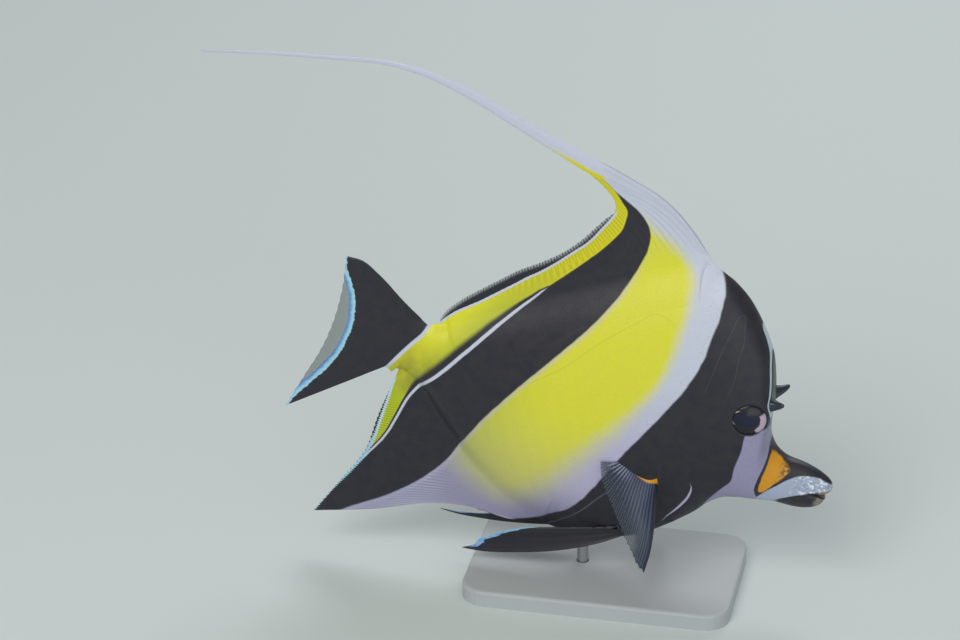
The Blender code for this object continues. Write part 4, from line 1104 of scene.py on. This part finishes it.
# Pelvic fin: black, with an uneven pale blue band along the outer part of the trailing margin.
def pelvicFinish():
    paint = Finish("pelvic_fin_skin")
    mottle = paint.noise(300.0, 3.0)
    color = paint.mix(mottle, fishColors["black"], fishColors["brownBlack"])
    across = paint.field("across")
    wide = paint.field("toMargin") + (paint.noise(520.0, 1.0) - 0.5) * 2.0
    trailing = paint.rise(wide, 2.8, 2.2) * paint.rise(across, 0.02, 0.08) * paint.rise(across, 0.72, 0.62)
    tone = paint.mix(paint.noise(700.0, 1.0), fishColors["cyan"], fishColors["blue"])
    color = paint.mix(trailing, color, tone)
    return closeFin(paint, color)


pectoralPaint, pelvicPaint = pectoralFinish(), pelvicFinish()
for sideName, isLeft in (("right", False), ("left", True)):
    buildPairedFin("pectoral_fin_soft_" + sideName, pairedFins["pectoral"], isLeft, pectoralPaint,
                   "pectoral_fin_" + sideName)
    buildPairedFin("pelvic_fin_soft_" + sideName, pairedFins["leftPelvic" if isLeft else "pelvic"], isLeft,
                   pelvicPaint, "pelvic_fin_" + sideName)


# Eye colour by place on the ball: dark blue pupil, brown black iris, a pale crescent behind and a
# pinkish white one in front.
def eyeFinish():
    paint = Finish("eye_glass")
    pupil = paint.rise(paint.field("pupil"), 1.03, 0.97)
    iris = paint.mix(paint.noise(1200.0, 3.0), tint(20, 18, 26), tint(34, 28, 34))
    ring = paint.rise(abs(paint.field("pupil") - 1.07), 0.05, 0.01)
    color = paint.mix(ring * 0.2, iris, tint(84, 66, 66))
    ahead, radius = paint.field("ahead"), paint.field("radius")
    rear = paint.rise(abs(paint.field("pupil") - 1.14), 0.08, 0.03) * paint.rise(ahead, -0.80, -0.93)
    color = paint.mix(rear, color, tint(196, 168, 172))
    rough = radius + (paint.noise(900.0, 2.0) - 0.5) * 1.2
    front = paint.rise(rough, 3.6, 4.0) * paint.rise(ahead, 0.66, 0.78)
    color = paint.mix(front * paint.rise(paint.field("pupil"), 1.08, 1.14), color, tint(184, 166, 186))
    color = paint.mix(pupil, color, tint(18, 21, 48))
    paint.put("Base Color", color)
    paint.put("Roughness", 0.35)
    paint.put("Specular IOR Level", 0.3)
    paint.put("Coat Weight", 0.22)
    paint.put("Coat Roughness", 0.05)
    return paint.material


# Eyeball: a dome over the socket, its height the root of 1 - r^2 with a raised cornea, closed by a
# shallow bowl behind. The dome leans with the skin around it.
def buildEye(name, leftSide, paint):
    r = np.linspace(0, 1, eye["rings"] + 1)[1:]
    a = np.linspace(0, 2 * np.pi, eye["sides"], endpoint=False)
    sign = 1.0 if leftSide else -1.0
    gap = eye["leanOver"]
    around = np.array(((0, 0), (0, gap), (0, -gap), (gap, 0), (-gap, 0))) + (eye["back"], eye["up"])
    centreHalf, above, below, behind, before = skinHalf(around[:, 0], around[:, 1])
    slopeUp, slopeBack = (above - below) / (2 * gap), (behind - before) / (2 * gap)
    radius = eye["radius"] * r[:, None] + 0 * a[None, :]
    ahead = -np.cos(a)[None, :] + 0 * radius
    lift = np.sin(a)[None, :] + 0 * radius
    back = eye["back"] - ahead * radius
    up = eye["up"] + lift * radius
    cornea = eye["cornea"] * np.exp(-(radius / eye["corneaRadius"]) ** 4)
    sphere = np.sqrt(np.maximum(1 - (radius / (eye["radius"] * 1.02)) ** 2, 0))
    dome = eye["rise"] - eye["depth"] * (1 - sphere)
    lean = (slopeUp * (up - eye["up"]) + slopeBack * (back - eye["back"])) * eye["leanShare"]
    front = np.stack((back, sign * (centreHalf + lean + dome + cornea), up), axis=-1)
    behindBall = eye["bowl"] * np.sqrt(np.maximum(1 - (radius / eye["radius"]) ** 2, 0))
    bowl = np.stack((back, sign * (centreHalf + lean + dome[-1:, :] - behindBall), up), axis=-1)
    grid = np.concatenate((front, bowl[-2::-1]))
    ends = np.array((front[0].mean(axis=0), bowl[0].mean(axis=0)))
    turned = math.radians(eye["pupilTurn"])
    fromBack, fromUp = back - eye["back"] - eye["pupilPlace"][0], up - eye["up"] - eye["pupilPlace"][1]
    across = fromBack * math.cos(turned) + fromUp * math.sin(turned)
    upright = -fromBack * math.sin(turned) + fromUp * math.cos(turned)
    pupil = np.hypot(across / eye["pupilHalf"][0], upright / eye["pupilHalf"][1])
    fields = {"pupil": pupil, "radius": radius, "ahead": ahead}
    for key in fields:
        values = np.concatenate((fields[key], fields[key][-2::-1])).ravel()
        middleValue = 0.2 if key == "pupil" else 0.0
        fields[key] = np.concatenate((values, [middleValue, middleValue]))
    return makePiece(name, *closedShell(grid, ends), fields, paint)


eyePaint = eyeFinish()
for sideName, isLeft in (("right", False), ("left", True)):
    ball = buildEye("eye_glass_" + sideName, isLeft, eyePaint)
    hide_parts("eye_" + sideName)

horns = {"base": (29.8, 5.2, 23.6), "bend": (27.2, 6.4, 24.6), "tip": (25.9, 8.1, 26.5), "radius": 3.1,
         "tipRadius": 0.55, "root": 1.8, "rings": 60, "sides": 40}


# Horn: dark blue bone, lighter and finely grooved towards the root.
def hornFinish():
    paint = Finish("horn_bone_dark")
    grain = paint.noise(1600.0, 3.0)
    color = paint.mix(grain, tint(20, 26, 42), tint(40, 50, 68))
    color = paint.mix(paint.rise(paint.field("along"), 0.35, 0.0) * 0.5, color, fishColors["brownBlack"])
    paint.put("Base Color", color)
    paint.put("Roughness", grain * 0.2 + 0.3)
    paint.put("Coat Weight", 0.3)
    paint.put("Normal", paint.bump(grain, 0.00015, 0.5))
    return paint.material


# Horn shape: a round section with low ridges along a quadratic arc from the brow, its radius falling as
# the share of the way to the power 0.7, to a blunt tip.
def buildHorn(name, sign, paint):
    base, bend, tip = (np.array(horns[key]) * (1.0, sign, 1.0) for key in ("base", "bend", "tip"))
    root = base - (bend - base) / np.linalg.norm(bend - base) * horns["root"]
    f = np.linspace(0, 1, horns["rings"])[:, None]
    place = root * (1 - f) ** 2 + 2 * bend * f * (1 - f) + tip * f * f
    ahead = np.gradient(place, axis=0)
    ahead /= np.linalg.norm(ahead, axis=1, keepdims=True)
    across = np.cross(ahead, (0.0, 0.0, 1.0))
    across /= np.linalg.norm(across, axis=1, keepdims=True)
    other = np.cross(ahead, across)
    a = np.linspace(0, 2 * np.pi, horns["sides"], endpoint=False)[None, :, None]
    radius = horns["radius"] + (horns["tipRadius"] - horns["radius"]) * f ** 0.7
    flare = 1 + 0.15 * np.exp(-(f / 0.18) ** 2)
    blunt = np.sqrt(np.maximum(1 - (np.maximum(f - 0.84, 0) / 0.1601) ** 2, 0.0))
    ridge = 1 + 0.04 * np.cos(7 * a) * (1 - f)[:, :, None]
    ring = across[:, None] * np.cos(a) + other[:, None] * np.sin(a)
    grid = place[:, None] + ring * (radius * flare * blunt)[:, None] * ridge
    along = np.concatenate((np.repeat(f[:, 0], horns["sides"]), [0.0, 1.0]))
    return makePiece(name, *closedShell(grid, place[[0, -1]]), {"along": along}, paint)


hornPaint = hornFinish()
for sideName, sign in (("right", -1.0), ("left", 1.0)):
    spur = buildHorn("brow_horn_" + sideName, sign, hornPaint)
    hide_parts("horn_" + sideName)
print("eyes and horns")


# Stand paint: pale grey satin with a very fine uneven surface.
def standBaseFinish():
    paint = Finish("stand_satin_grey")
    grain = paint.noise(900.0, 3.0)
    tone = paint.mix(paint.noise(30.0, 3.0), tint(176, 180, 182), tint(186, 190, 192))
    paint.put("Base Color", tone)
    paint.put("Roughness", grain * 0.12 + 0.42)
    paint.put("Normal", paint.bump(grain, 0.00006, 0.4))
    return paint.material


# Rod steel: brushed, with roughness drawn out along the rod by stretching the noise.
def rodFinish():
    paint = Finish("stand_brushed_steel")
    stretched = paint.node("ShaderNodeMapping", Vector=paint.place(), Scale=(3000.0, 3000.0, 60.0))
    grain = paint.noise(1.0, 2.0, stretched)
    paint.put("Base Color", paint.mix(grain, tint(168, 170, 174), tint(206, 208, 212)))
    paint.put("Metallic", 1.0)
    paint.put("Roughness", grain * 0.15 + 0.24)
    paint.put("Normal", paint.bump(grain, 0.00003, 0.3))
    return paint.material


for nodeName, paint in (("stand_base", standBaseFinish()), ("stand_rod", rodFinish())):
    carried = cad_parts[nodeName]
    carried.data.materials.clear()
    carried.data.materials.append(paint)

# Floor and backdrop: one pale sweep, flat under the stand and curved up behind it.
studio = {"width": 6.0, "front": -2.4, "rear": 2.2, "bend": 0.8, "height": 3.2, "steps": 24,
          "color": tint(212, 220, 218), "cloud": tint(204, 213, 211)}


# Sweep: a profile of floor, quarter round and wall, drawn across the whole width.
def buildStudio():
    turn = np.linspace(0, np.pi / 2, studio["steps"])
    rear, bend = studio["rear"], studio["bend"]
    y = np.concatenate(([studio["front"]], rear + bend * np.sin(turn), [rear + bend]))
    z = np.concatenate(([0.0], bend * (1 - np.cos(turn)), [studio["height"]]))
    x = np.array((-studio["width"] / 2, studio["width"] / 2))
    grid = np.stack(np.broadcast_arrays(x[None, :], y[:, None], z[:, None]), axis=-1)
    mesh = bpy.data.meshes.new("studio_sweep")
    faces = gridFaces(len(y), 2, False)[:, ::-1]
    mesh.from_pydata(grid.reshape(-1, 3).tolist(), [], faces.tolist())
    mesh.polygons.foreach_set("use_smooth", np.ones(len(faces), bool))
    paint = Finish("studio_paper")
    paint.put("Base Color", paint.mix(paint.noise(3.0, 2.0) * 0.3, studio["color"], studio["cloud"]))
    paint.put("Roughness", 0.85)
    mesh.materials.append(paint.material)
    sweep = bpy.data.objects.new("studio_sweep", mesh)
    bpy.context.scene.collection.objects.link(sweep)


buildStudio()

lights = [
    {"name": "key", "place": (-0.35, -1.15, 1.2), "size": 1.0, "power": 12.5, "color": (1.0, 0.98, 0.95)},
    {"name": "fill", "place": (0.8, -1.35, 0.22), "size": 1.2, "power": 6.0, "color": (0.93, 0.97, 1.0)},
    {"name": "rim", "place": (0.2, 1.0, 1.1), "size": 0.8, "power": 6.5, "color": (0.96, 0.98, 1.0)},
]
air = {"color": (0.86, 0.90, 0.92, 1.0), "strength": 0.36}
camera = {"target": (-0.0462, 0.0, 0.0981), "azimuth": 12.0, "elevation": 26.0, "distance": 1.2,
          "lens": 128.57, "sensor": 36.0}


# Aims an object at a point, its own -Z forwards.
def aim(thing, place, target):
    thing.location = place
    thing.rotation_mode = "QUATERNION"
    thing.rotation_quaternion = (Vector(target) - Vector(place)).to_track_quat("-Z", "Y")


# Lights, world and camera, which stands at its azimuth and elevation round the target.
def buildShot():
    for spec in lights:
        data = bpy.data.lights.new(spec["name"], "AREA")
        data.shape, data.size, data.energy, data.color = "DISK", spec["size"], spec["power"], spec["color"]
        lamp = bpy.data.objects.new(spec["name"], data)
        bpy.context.scene.collection.objects.link(lamp)
        aim(lamp, spec["place"], camera["target"])
    world = bpy.data.worlds.new("studio_air")
    world.use_nodes = True
    background = world.node_tree.nodes["Background"]
    background.inputs["Color"].default_value = air["color"]
    background.inputs["Strength"].default_value = air["strength"]
    bpy.context.scene.world = world
    data = bpy.data.cameras.new("shot")
    data.lens, data.sensor_width = camera["lens"], camera["sensor"]
    shot = bpy.data.objects.new("shot", data)
    bpy.context.scene.collection.objects.link(shot)
    a, e = math.radians(camera["azimuth"]), math.radians(camera["elevation"])
    away = Vector((math.sin(a) * math.cos(e), -math.cos(a) * math.cos(e), math.sin(e)))
    aim(shot, Vector(camera["target"]) + away * camera["distance"], camera["target"])
    bpy.context.scene.camera = shot
    bpy.context.scene.view_settings.view_transform = "Standard"


buildShot()
print("studio")
